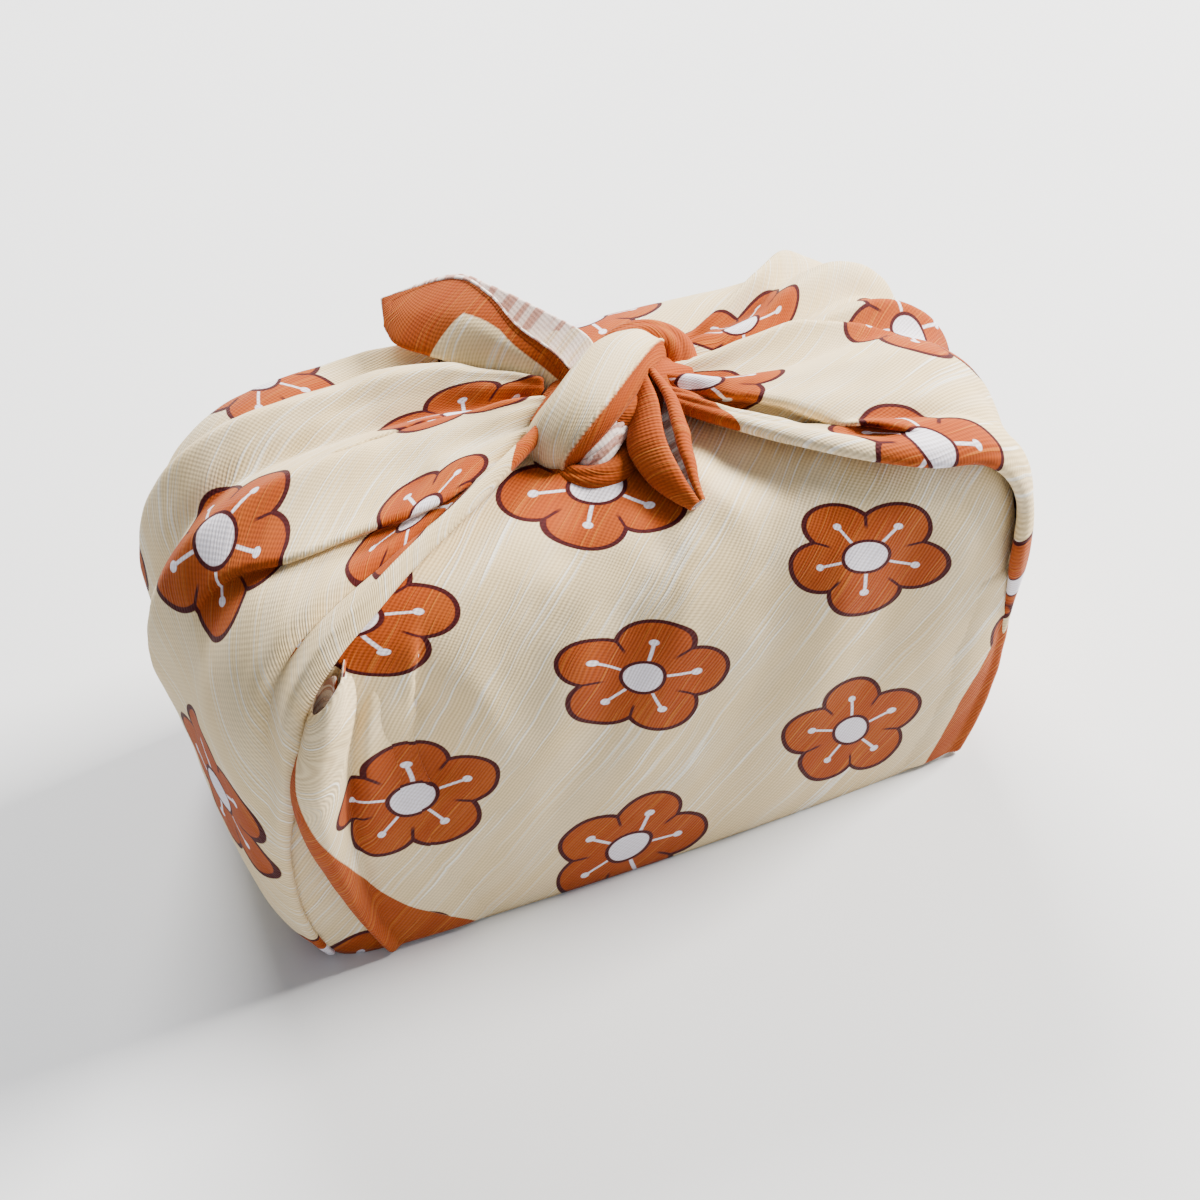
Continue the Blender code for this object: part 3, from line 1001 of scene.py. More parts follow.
@dataclass
class Wing(ClothPiece):
    """A side corner of the cloth: up the end, over the shoulder and in pleats to the knot."""

    held = Held.DRAPED
    name: str
    side: int
    bundle: Bundle
    square: Square
    stations: tuple[Station, ...]
    pleats: tuple[Pleat, ...]
    creases: tuple[Crease, ...]
    edge_rolls: tuple[float, ...]
    edge_heights: tuple[float, ...]
    lip: float
    neck_patch: tuple[float, float]
    flat: tuple[float, float]
    edge_softness: float = 2.4
    rows: int = 224
    columns: int = 190
    rolled: int = 14
    shoulder: float = 0.45
    back_roll: float = 0.9
    gather_count: float = 9.0
    foot: float = 75.0

    def folds(self, along: Grid, across: Grid, width: Grid) -> Grid:
        """Add up the long pleats.

        Args:
            along: Each point's share of the way to the knot.
            across: Its share of the way from front to back.
            width: The wing's width in each row.

        Returns:
            The pleats' height at each point.
        """
        total = np.zeros(across.shape)
        narrowing = np.clip((1 - along) / 0.6, 0, 1)
        for k, pleat in enumerate(self.pleats):
            places = [pleat.at_wall, pleat.at_shoulder, pleat.at_knot]
            middle = np.interp(along, [0, self.shoulder, 1], places)
            middle = middle + 0.012 * np.sin(along * 9 + 2.1 * k)
            distance = (across - middle) * width
            begun = ease_in((along - pleat.start) / 0.2)
            half_width = pleat.half_width * (0.45 + 0.55 * narrowing)
            half_width = half_width * (1 + pleat.lean * np.tanh(distance / half_width))
            total += 1.2 * pleat.height * begun * np.exp(-(np.abs(distance / half_width) ** 1.5))
        return total

    def gathers(self, along: Grid, across: Grid) -> Grid:
        """Draw the fine gathers that run into the knot.

        Args:
            along: Each point's share of the way to the knot.
            across: Its share of the way from front to back.

        Returns:
            The gathers' height at each point.
        """
        uneven = across + 0.03 * np.sin(11 * across) + 0.02 * np.sin(14 * along)
        phase = self.gather_count * 2 * np.pi * uneven
        begun = ease_in((along - 0.62) / 0.33)
        return 0.75 * begun * np.sin(phase) * (0.65 + 0.35 * np.sin(5 * across + 2))

    def layer(self) -> Layer:
        """Lay the wing on the bundle.

        Returns:
            The layer, from the base up to the knot and from its front edge to its back.
        """
        front = smooth_path([s.front for s in self.stations], self.rows)
        back = smooth_path([s.back for s in self.stations], self.rows)
        crown = eased([s.crown for s in self.stations], self.rows)[:, None]
        roll = eased(self.edge_rolls, self.rows)[:, None]
        edge_height = eased(self.edge_heights, self.rows)[:, None]
        width = np.linalg.norm(back - front, axis=1)[:, None]
        row = np.linspace(0, 1, self.rows)[:, None]
        even = np.linspace(0, 1, self.columns)[None, :]
        closer = 0.6 * even + 0.2 * (1 - np.cos(np.pi * even))
        across = roll / width + (1 - 2 * roll / width) * closer
        along = np.repeat(row, self.columns, 1)
        seat = self.bundle.seat(front[:, None] + (back - front)[:, None] * across[..., None])
        normals = self.bundle.outward(seat)
        high = crown + self.folds(along, across, width) + self.gathers(along, across)
        moved = sum(crease.relief(seat, normals) for crease in self.creases)
        lifted = (moved * normals).sum(-1)
        sideways = moved - lifted[..., None] * normals
        high = high + lifted
        rough = 0.20 * waver(seat, 31, 1.0 + self.side) + 0.10 * waver(seat, 11, 3.0)
        high = high + rough * ease_in(along / 0.1)
        from_front = across * width
        free = np.clip(1 - from_front / 14, 0, 1) ** 1.5 * ease_in((along - 0.28) / 0.15)
        high = high + self.lip * free
        at_edge = np.exp(-(((from_front - roll) / self.edge_softness) ** 2))
        high = high + (edge_height - high) * at_edge
        at_back = np.exp(-((((1 - across) * width - self.back_roll) / 2.0) ** 2))
        back_high = np.maximum(2 * self.back_roll + 0.2, 0.5 * high)
        high = high + (back_high - high) * at_back * ease_in((along - 0.3) / 0.2)

        curl = np.linspace(np.radians(300), np.radians(97), self.rolled)[None, :]
        shift, drop = roll * np.cos(curl), roll * (np.sin(curl) - 1)
        front_across = (roll + shift) / width
        front_high = high[:, :1] + drop
        end = np.linspace(np.radians(83), np.radians(-110), self.rolled)[None, :]
        small = self.back_roll * ease_in((row - 0.25) / 0.2) + 0.3
        back_across = 1 - (small - small * np.cos(end)) / width
        back_high = high[:, -1:] + small * (np.sin(end) - 1)
        every_across = np.concatenate([front_across, across, back_across], 1)
        every_high = np.concatenate([front_high, high, back_high], 1)
        seat = self.bundle.seat(front[:, None] + (back - front)[:, None] * every_across[..., None])
        normals = self.bundle.outward(seat)
        middle = seat + normals * every_high[..., None]
        inner = slice(self.rolled, self.rolled + self.columns)
        fixed = np.minimum(at_edge + at_back, 1)[..., None]
        middle[:, inner] += sideways * (1 - fixed)
        middle[..., 2] = np.maximum(middle[..., 2], 0.5)
        return self.placed(middle, every_across, width)

    def placed(self, middle: Grid, across: Grid, width: Grid) -> Layer:
        """Work out where each place of the wing is on the flat cloth.

        Args:
            middle: The wing's points.
            across: Each point's share of the way from front to back.
            width: The wing's width in each row.

        Returns:
            The finished layer.
        """
        rows, columns = middle.shape[:2]
        run = arc_length(middle[:, columns // 2][:, None], 0)
        along = np.repeat(np.linspace(0, 1, rows)[:, None], columns, 1)
        spread = 1 + 2.6 * ease_in((along - 0.4) / 0.6) ** 1.5
        u = self.side * (self.foot + np.repeat(run, columns, 1))
        s = (across - 0.5) * width * spread
        start, slope = self.neck_patch
        neck = (start + slope * across - along) * 160
        field_depth = np.minimum(self.square.into_field(u, s), neck)
        hem = np.full(across.shape, FAR_FROM_HEM)
        facing = (0.35 * self.side, 0.0, 1.0)
        return Layer(middle, self.square.threads(u, s), field_depth, hem, facing)


# --- the flap's folded margins ----------------------------------------------


@dataclass(frozen=True)
class Margin:
    """One cross-line of a margin: its outer edge, its inner line and where the border ends."""

    edge: Point
    inner: Point
    border: float


@dataclass
class FlapEdge(ClothPiece):
    """A side margin of the front flap, curled under along its outer edge."""

    name: str
    side: int
    bundle: Bundle
    square: Square
    margins: tuple[Margin, ...]
    radii: tuple[float, ...]
    heights: tuple[float, ...]
    puff: tuple[float, ...]
    valley: float
    curl: tuple[float, float]
    flat: tuple[float, float]
    rows: int = 150
    columns: int = 60
    turns: int = 34

    def layer(self) -> Layer:
        """Lay the margin on the bundle.

        Returns:
            The layer, from the top down and from its inner line out and round the curl.
        """
        edge = smooth_path([m.edge for m in self.margins], self.rows)
        inner = smooth_path([m.inner for m in self.margins], self.rows)
        border = eased([m.border for m in self.margins], self.rows)[:, None]
        radius = eased(self.radii, self.rows)[:, None]
        lift = eased(self.heights, self.rows)[:, None]
        width = np.linalg.norm(inner - edge, axis=1)[:, None]
        down = np.linspace(0, 1, self.rows)[:, None]
        away = np.linspace(0, 1, self.columns)[None, :]
        start = radius / width
        across = start + (1 - start) * away
        top = lift + 2 * radius
        off_top = (across - start) * width
        fall = np.exp(-((off_top / (1.2 * radius + 0.9)) ** 2.2))
        puff = eased(self.puff, self.rows)[:, None]
        flat_run = puff * (1 - ease_in((across - 0.45) / 0.5))
        flat_run = flat_run - 1.1 * ease_in((across - 0.55) / 0.42)
        crease = self.valley * (1 - down) * np.exp(-(((off_top - 2.0 * radius) / 2.0) ** 2))
        high = flat_run + (top - flat_run) * fall + crease
        tucked = (1 - ease_in(down / 0.12)) * ease_in((off_top - 0.75 * radius) / 3)
        high = high * (1 - tucked) - 1.8 * tucked
        low, far = self.curl
        round_it = np.linspace(0, 1, self.turns)[None, :]
        turn = np.radians(round_it * (low + (far - low) * down**0.6) + 95)
        shrink = 1 - round_it * (0.25 + 0.2 * (1 - down))
        curl_across = (radius + radius * shrink * np.cos(turn)) / width
        curl_high = top - radius + radius * shrink * np.sin(turn)
        across = np.concatenate([across[:, ::-1], curl_across], 1)
        high = np.concatenate([high[:, ::-1], curl_high], 1)
        seat = self.bundle.seat(edge[:, None] + (inner - edge)[:, None] * across[..., None])
        normals = self.bundle.outward(seat)
        high = high + 0.12 * waver(seat, 17, 5.0) * ease_in((1 - down) * 4)
        middle = seat + normals * high[..., None]
        middle[..., 2] = np.maximum(middle[..., 2], 0.45)
        run = arc_length(middle, 1)
        lying = int(0.62 * self.columns)
        u, s = self.square.flap_place(middle[:, :lying], self.bundle.roof)
        rolled = run[:, lying:] - run[:, lying - 1 : lying]
        way = np.stack([u[:, -1:] - u[:, -9:-8], s[:, -1:] - s[:, -9:-8]])
        way /= np.linalg.norm(way, axis=0)
        u = np.concatenate([u, u[:, -1:] + way[0] * rolled], 1)
        s = np.concatenate([s, s[:, -1:] + way[1] * rolled], 1)
        to_edge = run[:, self.columns - 1 : self.columns]
        from_line = (1 - border) * width - run * (1 - start) * width / to_edge
        hem = np.full(run.shape, FAR_FROM_HEM)
        return Layer(middle, self.square.threads(u, s), from_line, hem, (0, -1.0, 0.2))


# --- the knot ----------------------------------------------------------------


@dataclass(frozen=True)
class Bend:
    """One place along a strand, with its half width and half height there."""

    place: Point
    half_width: float
    half_height: float


def directions(path: Grid, side: Point) -> tuple[Grid, Grid]:
    """Find two axes across a path.

    Args:
        path: Points along it.
        side: A direction that the first axis keeps to.

    Returns:
        At each point, an axis towards that side, and one square to it and to the path.
    """
    along = np.gradient(path, axis=0)
    along /= np.linalg.norm(along, axis=1, keepdims=True)
    facing = np.asarray(side, float)
    across = facing - along * np.sum(facing * along, axis=1, keepdims=True)
    across /= np.linalg.norm(across, axis=1, keepdims=True)
    return across, np.cross(along, across)


@dataclass
class Strand(ClothPiece):
    """A gathered strand of cloth in the knot, with grooves along it."""

    held = Held.GATHERED
    name: str
    bends: tuple[Bend, ...]
    side: Point
    flat: tuple[float, float]
    grooves: tuple[tuple[float, float, float], ...] = ()
    count: int = 120
    around: int = 96
    twist: float = 0.5

    def shape(self, finish: PrintedCloth) -> bpy.types.Object:
        """Make the strand, closed at both ends.

        Args:
            finish: The cloth's finish.

        Returns:
            The new object.
        """
        path = smooth_path([b.place for b in self.bends], self.count)
        wide = eased([b.half_width for b in self.bends], self.count)[:, None]
        high = eased([b.half_height for b in self.bends], self.count)[:, None]
        across, up = directions(path, self.side)
        turn = np.linspace(0, 2 * np.pi, self.around, endpoint=False)[None, :]
        along = np.linspace(0, 1, self.count)[:, None]
        dent = np.ones((self.count, self.around))
        for place, half_angle, depth in self.grooves:
            middle = place * 2 * np.pi + self.twist * (along - 0.5)
            off = (turn - middle + np.pi) % (2 * np.pi) - np.pi
            dent -= depth * np.exp(-(np.abs(off / half_angle) ** 1.6))
        out = (np.cos(turn) * dent * wide)[..., None] * across[:, None]
        out = out + (np.sin(turn) * dent * high)[..., None] * up[:, None]
        rings = path[:, None] + out
        points = np.concatenate([rings.reshape(-1, 3), path[:1], path[-1:]])
        faces = grid_faces(self.count, self.around, wrap=True)
        start = self.count * self.around
        last = start - self.around
        faces += [((j + 1) % self.around, j, start) for j in range(self.around)]
        faces += [(last + j, last + (j + 1) % self.around, start + 1) for j in range(self.around)]
        run = arc_length(rings[:, :1], 0)
        girth = 2 * np.pi * np.sqrt((wide**2 + high**2) / 2)
        p = run + 0 * turn
        q = np.abs(turn / (2 * np.pi) - 0.5) * girth
        threads = np.stack([q + 0.35 * p, p], -1).reshape(-1, 2)
        threads = np.concatenate([threads, threads[:1], threads[-1:]])
        numbers = [np.full(len(points), n) for n in (IN_THE_BORDER, FAR_FROM_HEM, 0.0)]
        flat = FlatPlaces(threads, *numbers, printed=False)
        return new_piece(self.name, points, faces, flat, finish)


@dataclass
class KnotBand(ClothPiece):
    """The strip that crosses over the knot, open along its front edge, where its hem shows."""

    name = "knot_band"
    held = Held.GATHERED
    bends: tuple[Bend, ...] = (
        Bend((-10, -2, 91), 5.0, 3.6),
        Bend((-12.5, -4, 97.5), 6.0, 3.8),
        Bend((-5, -2, 103.8), 6.6, 4.0),
        Bend((6, 6.5, 104.8), 6.6, 4.0),
        Bend((13, 12.5, 100), 5.6, 3.8),
        Bend((12, 11, 92), 4.6, 3.6),
    )
    side: Point = (0.65, -0.75, 0)
    section: tuple[tuple[float, float], ...] = (
        (-0.60, -0.95),
        (-0.98, -0.45),
        (-0.92, 0.25),
        (-0.60, 0.78),
        (-0.10, 1.0),
        (0.40, 0.94),
        (0.80, 0.66),
        (1.02, 0.16),
        (1.05, -0.16),
        (0.99, -0.28),
        (0.92, -0.16),
    )
    strip: float = 5.4
    flat: tuple[float, float] = (0.046, 0.034)
    rows: int = 150
    columns: int = 110

    def layer(self) -> Layer:
        """Sweep the band's section over the knot.

        Returns:
            The layer, with a raised seam along its hem.
        """
        path = smooth_path([b.place for b in self.bends], self.rows)
        wide = eased([b.half_width for b in self.bends], self.rows)[:, None]
        high = eased([b.half_height for b in self.bends], self.rows)[:, None]
        across, up = directions(path, self.side)
        if up[self.rows // 2, 2] < 0:
            up = -up
        curve = smooth_path([(a, b, 0) for a, b in self.section], self.columns)
        along = np.linspace(0, 1, self.rows)[:, None]
        over, rise = curve[None, :, 0], curve[None, :, 1]
        folds = 1 + 0.035 * np.sin(over * 7 + 3 * along) * ease_in((0.75 - over) * 3)
        out = (over * wide * folds)[..., None] * across[:, None]
        out = out + (rise * high * folds)[..., None] * up[:, None]
        middle = path[:, None] + out
        run = arc_length(middle, 1)
        hem = run[:, -1:] - run
        length = arc_length(middle, 0)
        threads = np.stack([1.6 * run + 0.2 * length, length * 0.95], -1)
        layer = Layer(middle, threads, hem - self.strip, hem, (0, 0, 1.0), 0.8, False)
        seam = np.exp(-(((hem - self.strip) / 0.38) ** 2)) * (1 + 0.3 * np.sin(length * 6.5))
        layer.middle = middle + layer.normals() * 0.55 * seam[..., None]
        return layer


@dataclass
class Panel(ClothPiece):
    """A patch of cloth between two lines, which swells between them."""

    name: str
    upper: tuple[Point, ...]
    lower: tuple[Point, ...]
    swell: Point
    tint: tuple[float, float]
    facing: Point
    flat: tuple[float, float]
    grooves: float = 0.0
    rows: int = 90
    columns: int = 50

    def layer(self) -> Layer:
        """Span the patch between its two lines.

        Returns:
            The layer, from its upper line to its lower one.
        """
        upper, lower = smooth_path(self.upper, self.rows), smooth_path(self.lower, self.rows)
        share = np.linspace(0, 1, self.columns)[None, :, None]
        along = np.linspace(0, 1, self.rows)[:, None]
        rise = np.sin(np.pi * share[..., 0]) * (0.4 + 0.6 * np.sin(np.pi * along))
        ripple = self.grooves * np.sin(share[..., 0] * 34 + 2.5 * along) * rise
        middle = upper[:, None] * (1 - share) + lower[:, None] * share
        middle = middle + np.asarray(self.swell, float) * (rise + ripple)[..., None]
        run, length = arc_length(middle, 1), arc_length(middle, 0)
        near, far = self.tint
        depth = near + (far - near) * np.repeat(share[..., 0], self.rows, 0)
        hem = run[:, -1:] - run
        threads = np.stack([run, length], -1)
        return Layer(middle, threads, depth, hem, self.facing, printed=False)


@dataclass(frozen=True)
class Leaf:
    """One place along a free end, with its width and the gap between its two layers."""

    place: Point
    width: float
    gap: float


@dataclass
class FrontTip(ClothPiece):
    """The short free end that hangs forward out of the knot, curled to an open slit."""

    name = "front_tip"
    leaves: tuple[Leaf, ...] = (
        Leaf((9, 1.5, 103.5), 4.6, 2.2),
        Leaf((8, -6, 102), 9.0, 2.8),
        Leaf((5.8, -14, 99.3), 12.0, 3.4),
        Leaf((6.2, -21.5, 96.8), 9.0, 3.0),
        Leaf((7.9, -27.4, 94.6), 2.6, 1.2),
    )
    side: Point = (1, 0.1, 0.35)
    section: tuple[tuple[float, float], ...] = (
        (0.06, 0.62),
        (0.09, 0.92),
        (-0.06, 1.0),
        (-0.32, 0.72),
        (-0.50, 0.15),
        (-0.44, -0.40),
        (-0.15, -0.80),
        (0.20, -0.80),
        (0.46, -0.35),
        (0.51, 0.25),
        (0.45, 0.80),
        (0.34, 0.92),
        (0.30, 0.62),
    )
    flat: tuple[float, float] = (0.036, 0.020)
    rows: int = 110
    columns: int = 120

    def layer(self) -> Layer:
        """Sweep the curled section forward out of the knot.

        Returns:
            The layer.
        """
        path = smooth_path([leaf.place for leaf in self.leaves], self.rows)
        width = eased([leaf.width for leaf in self.leaves], self.rows)[:, None]
        gap = eased([leaf.gap for leaf in self.leaves], self.rows)[:, None]
        across, up = directions(path, self.side)
        if up[self.rows // 2, 2] < 0:
            up = -up
        curve = smooth_path([(a, b, 0) for a, b in self.section], self.columns)
        out = (curve[None, :, 0] * width)[..., None] * across[:, None]
        out = out + (curve[None, :, 1] * gap)[..., None] * up[:, None]
        middle = path[:, None] + out
        run, length = arc_length(middle, 1), arc_length(middle, 0)
        threads = np.stack([length + 0.1 * run, run], -1)
        outer, hem = np.full(run.shape, IN_THE_BORDER), np.full(run.shape, FAR_FROM_HEM)
        return Layer(middle, threads, outer, hem, (0, 0.2, -1.0), 0.75, False)


@dataclass(frozen=True)
class Fan:
    """One cross-line of the far free end: the back leaf's top, the fold, the front leaf's hem.

    tint says how far inside the cream field it is at the top, the fold and the hem.
    """

    top: Point
    fold: Point
    hem: Point
    tint: tuple[float, float, float]


@dataclass
class BackTip(ClothPiece):
    """The long free end that stands out to the left, folded so that its inside shows."""

    name = "back_tip"
    fans: tuple[Fan, ...] = (
        Fan((4, 11, 101), (-4, 6, 97), (-3, 5, 103), (7, 6, -3)),
        Fan((3, 17, 104.5), (-10, 12, 98), (-6, 12, 106), (-1, 7, -3)),
        Fan((-4, 26, 107), (-18, 19, 99.5), (-11, 20, 108.5), (-6, 8, -3)),
        Fan((-11, 34, 109), (-26, 26, 101), (-13.5, 30, 110), (-8, 7, -5)),
        Fan((-17, 41, 108.5), (-32, 32, 101.5), (-18, 39, 109), (-12, -6, -9)),
        Fan((-31.5, 44.5, 104), (-33, 38, 102.5), (-31.5, 43.5, 104.5), (-16, -14, -14)),
    )
    bulge: float = 2.4
    flat: tuple[float, float] = (0.050, 0.031)
    rows: int = 130
    columns: int = 120

    def layer(self) -> Layer:
        """Draw a cross-line through each fan's top, fold and hem.

        Returns:
            The layer, from the knot out to the corner.
        """
        corners = zip(*((fan.top, fan.fold, fan.hem) for fan in self.fans))
        lines = [smooth_path(line, self.rows) for line in corners]
        toward = np.array([-0.25, -0.62, 0.74]) * self.bulge
        swell = np.sin(np.linspace(0, np.pi, self.rows))[:, None]
        rows = []
        for top, fold, hem, size in zip(*lines, swell):
            lip = hem + np.array([0.3, -0.9, 0.5]) * size
            under = (top + fold) / 2 - toward * 0.5 * size
            over = (fold + hem) / 2 + toward * size
            curve = [top, under, fold, over, hem, lip]
            rows.append(smooth_path([tuple(c) for c in curve], self.columns))
        middle = np.stack(rows)
        share = np.linspace(0, 1, self.columns)
        tints = np.array([np.interp(share, [0, 0.45, 1], fan.tint) for fan in self.fans])
        down, stops = np.linspace(0, 1, self.rows), np.linspace(0, 1, len(self.fans))
        depth = np.stack([np.interp(down, stops, tint) for tint in tints.T], 1)
        run, length = arc_length(middle, 1), arc_length(middle, 0)
        hem = np.minimum(run[:, -1:] - run, length[-1:] - length)
        threads = np.stack([length, run + 0.3 * length], -1)
        return Layer(middle, threads, depth, hem, (0, 0.5, -1.0), 0.75, False)


# --- the studio --------------------------------------------------------------


@dataclass(frozen=True)
class PaleTable:
    """A pale painted table top, slightly uneven in tone."""

    colour: tuple[int, int, int] = (222, 224, 228)
    darker: int = 5

    def material(self) -> bpy.types.Material:
        """Make the table's material.

        Returns:
            The new material.
        """
        finish = bpy.data.materials.new("pale_table")
        finish.use_nodes = True
        tree = finish.node_tree
        shader = tree.nodes["Principled BSDF"]
        shader.inputs["Roughness"].default_value = 0.55
        shader.inputs["Specular IOR Level"].default_value = 0.3
        place = tree.nodes.new("ShaderNodeTexCoord")
        grain = tree.nodes.new("ShaderNodeTexNoise")
        grain.inputs["Scale"].default_value = 9.0
        tree.links.new(place.outputs["Object"], grain.inputs["Vector"])
        tone = tree.nodes.new("ShaderNodeMix")
        tone.data_type = "RGBA"
        tone.inputs[6].default_value = linear(*self.colour)
        tone.inputs[7].default_value = linear(*(c - self.darker for c in self.colour))
        tree.links.new(grain.outputs[0], tone.inputs[0])
        tree.links.new(tone.outputs[2], shader.inputs["Base Color"])
        return finish


@dataclass(frozen=True)
class Lamp:
    """A soft square lamp that looks at the bundle, in metres and watts."""

    name: str
    place: Point
    size: float
    power: float
    tint: tuple[float, float, float]
    looks_at: Point = (0, 0, 0.05)

    def build(self) -> None:
        """Add the lamp."""
        lamp = bpy.data.lights.new(self.name, "AREA")
        lamp.energy = self.power
        lamp.size = self.size
        lamp.color = self.tint
        holder = bpy.data.objects.new(self.name, lamp)
        holder.location = self.place
        away = Vector(self.place) - Vector(self.looks_at)
        holder.rotation_euler = away.to_track_quat("Z", "Y").to_euler()
        bpy.context.scene.collection.objects.link(holder)


@dataclass
class Studio:
    """A pale table, soft light and a camera at the photograph's angle."""

    azimuth: float = -22.5
    elevation: float = 46.8
    camera_place: Point = (-110.85, -265.2, 350.4)
    lens: float = 57.72
    sky: Colour = (0.90, 0.94, 1.0, 1)
    sky_strength: float = 0.42
    lamps: tuple[Lamp, ...] = (
        Lamp("window", (1.0, 0.05, 0.9), 0.40, 66, (1.0, 0.955, 0.88)),
        Lamp("far_window", (0.1, 1.05, 0.9), 0.6, 38, (1.0, 0.98, 0.94)),
    )

    def floor(self) -> None:
        """Add the table's top."""
        bpy.ops.object.select_all(action="DESELECT")
        bpy.ops.mesh.primitive_plane_add(size=6, location=(0, 0, -0.0002))
        plane = bpy.context.object
        plane.name = "table_top"
        bpy.ops.object.transform_apply(location=True, rotation=False, scale=False)
        plane.data.materials.append(PaleTable().material())

    def camera(self) -> None:
        """Add the camera."""
        turn, rise = np.radians(self.azimuth), np.radians(self.elevation)
        back = np.array([np.sin(turn) * np.cos(rise), -np.cos(turn) * np.cos(rise), np.sin(rise)])
        right = np.array([np.cos(turn), np.sin(turn), 0])
        up = np.cross(back, right)
        lens = bpy.data.cameras.new("photo_camera")
        lens.lens = self.lens
        lens.sensor_width = 36
        lens.clip_start = 0.01
        holder = bpy.data.objects.new("photo_camera", lens)
        matrix = Matrix(np.column_stack([right, up, back]).tolist()).to_4x4()
        matrix.translation = Vector(self.camera_place) * MM
        holder.matrix_world = matrix
        bpy.context.scene.collection.objects.link(holder)
        bpy.context.scene.camera = holder

    def build(self) -> None:
        """Add everything that isn't part of the object."""
        self.floor()
        for lamp in self.lamps:
            lamp.build()
        world = bpy.data.worlds.new("room")
        world.use_nodes = True
        backdrop = world.node_tree.nodes["Background"]
        backdrop.inputs[0].default_value = self.sky
        backdrop.inputs[1].default_value = self.sky_strength
        bpy.context.scene.world = world
        self.camera()


# --- the sizes of this wrap --------------------------------------------------


def left_wing(bundle: Bundle, square: Square) -> Wing:
    """The left corner, with a rolled rope edge that runs from the knot to the front."""
    return Wing(
        "left_wing",
        -1,
        bundle,
        square,
        stations=(
            Station((-74, -34, 1), (-74, 37, 1), 0.2),
            Station((-80, -35, 22), (-81, 39, 22), 0.6),
            Station((-82, -36, 44), (-83, 41, 45), 1.0),
            Station((-79, -37, 66), (-81, 42, 66), 1.4),
            Station((-74, -34.5, 81), (-76, 43, 83), 1.8),
            Station((-66, -32, 89), (-64, 43, 91), 2.4),
            Station((-57, -29, 93), (-51, 42, 94), 2.7),
            Station((-45, -23, 95), (-38, 40, 95), 3.0),
            Station((-34, -16.5, 95), (-26, 35, 96), 3.5),
            Station((-23, -9, 96), (-16, 25, 97), 4.2),
            Station((-13, -2, 97), (-8, 14, 97), 5.0),
        ),
        pleats=(
            Pleat(0.06, 0.062, 0.17, -2.1, 2.0, 0.36),
            Pleat(0.11, 0.12, 0.26, -0.8, 6.0, 0.36),
            Pleat(0.50, 0.30, 0.32, -0.9, 5.5, 0.20, 0.3),
            Pleat(0.62, 0.50, 0.45, 3.0, 7.0, 0.15),
            Pleat(0.70, 0.62, 0.60, -2.6, 4.5, 0.25, -0.3),
            Pleat(0.78, 0.76, 0.74, 2.4, 5.5, 0.20),
            Pleat(0.86, 0.86, 0.85, -1.8, 4.0, 0.30),
            Pleat(0.94, 0.94, 0.95, 2.2, 3.5, 0.30),
        ),
        creases=(
            Crease(
                (
                    (-24, -5, 95),
                    (-40, -9.5, 95),
                    (-55, -11, 94),
                    (-67, -11, 92),
                    (-77, -7, 86),
                    (-84, -8, 74),
                ),
                1.4,
                7.0,
                fade=0.22,
                shape=Shape.OVERLAP,
                reach=2.6,
            ),
            Crease(
                ((-30, -10, 95), (-48, -13, 95), (-64, -14, 92), (-78, -12, 84)), -0.8, 3.5, 0.3
            ),
            Crease(
                ((-13, 8, 95), (-22, 10.5, 95), (-33, 11, 95), (-46, 10, 95), (-58, 6, 93)),
                1.3,
                5.0,
                fade=0.22,
                shape=Shape.OVERLAP,
                reach=2.2,
            ),
            Crease(((-18, 8, 95), (-32, 8, 95), (-50, 6, 95)), -1.2, 2.6),
            Crease(((-12, 2, 95), (-26, 0, 95), (-44, -2, 95)), 1.0, 3.0),
            Crease(((-16, 18, 95), (-30, 24, 95), (-48, 28, 95)), 1.2, 4.0),
            Crease(((-14, 13, 95), (-28, 18, 95), (-46, 21, 95), (-62, 20, 92)), -1.2, 3.2),
            Crease(((-84, -34, 59), (-84, -35, 44), (-82, -36, 27), (-78, -36, 7)), 1.2, 2.4),
            Crease(((-85, -26, 66), (-86, -22, 44), (-84, -24, 20)), -0.9, 5.0),
            Crease(((-70, 0, 92), (-84, 4, 76), (-88, 2, 50)), 0.8, 8.0),
            Crease(((-66, 20, 92), (-80, 22, 76), (-86, 18, 50)), -0.8, 7.0),
        ),
        edge_rolls=(0.5, 0.6, 0.7, 1.1, 1.7, 1.9, 1.9, 1.9, 1.9, 1.9, 1.8),
        edge_heights=(0.8, 1.2, 1.6, 2.6, 4.2, 5.4, 6.0, 6.2, 6.6, 6.8, 6.8),
        lip=0.0,
        neck_patch=(0.915, 0.30),
        flat=(0.175, 0.082),
        edge_softness=1.0,
    )


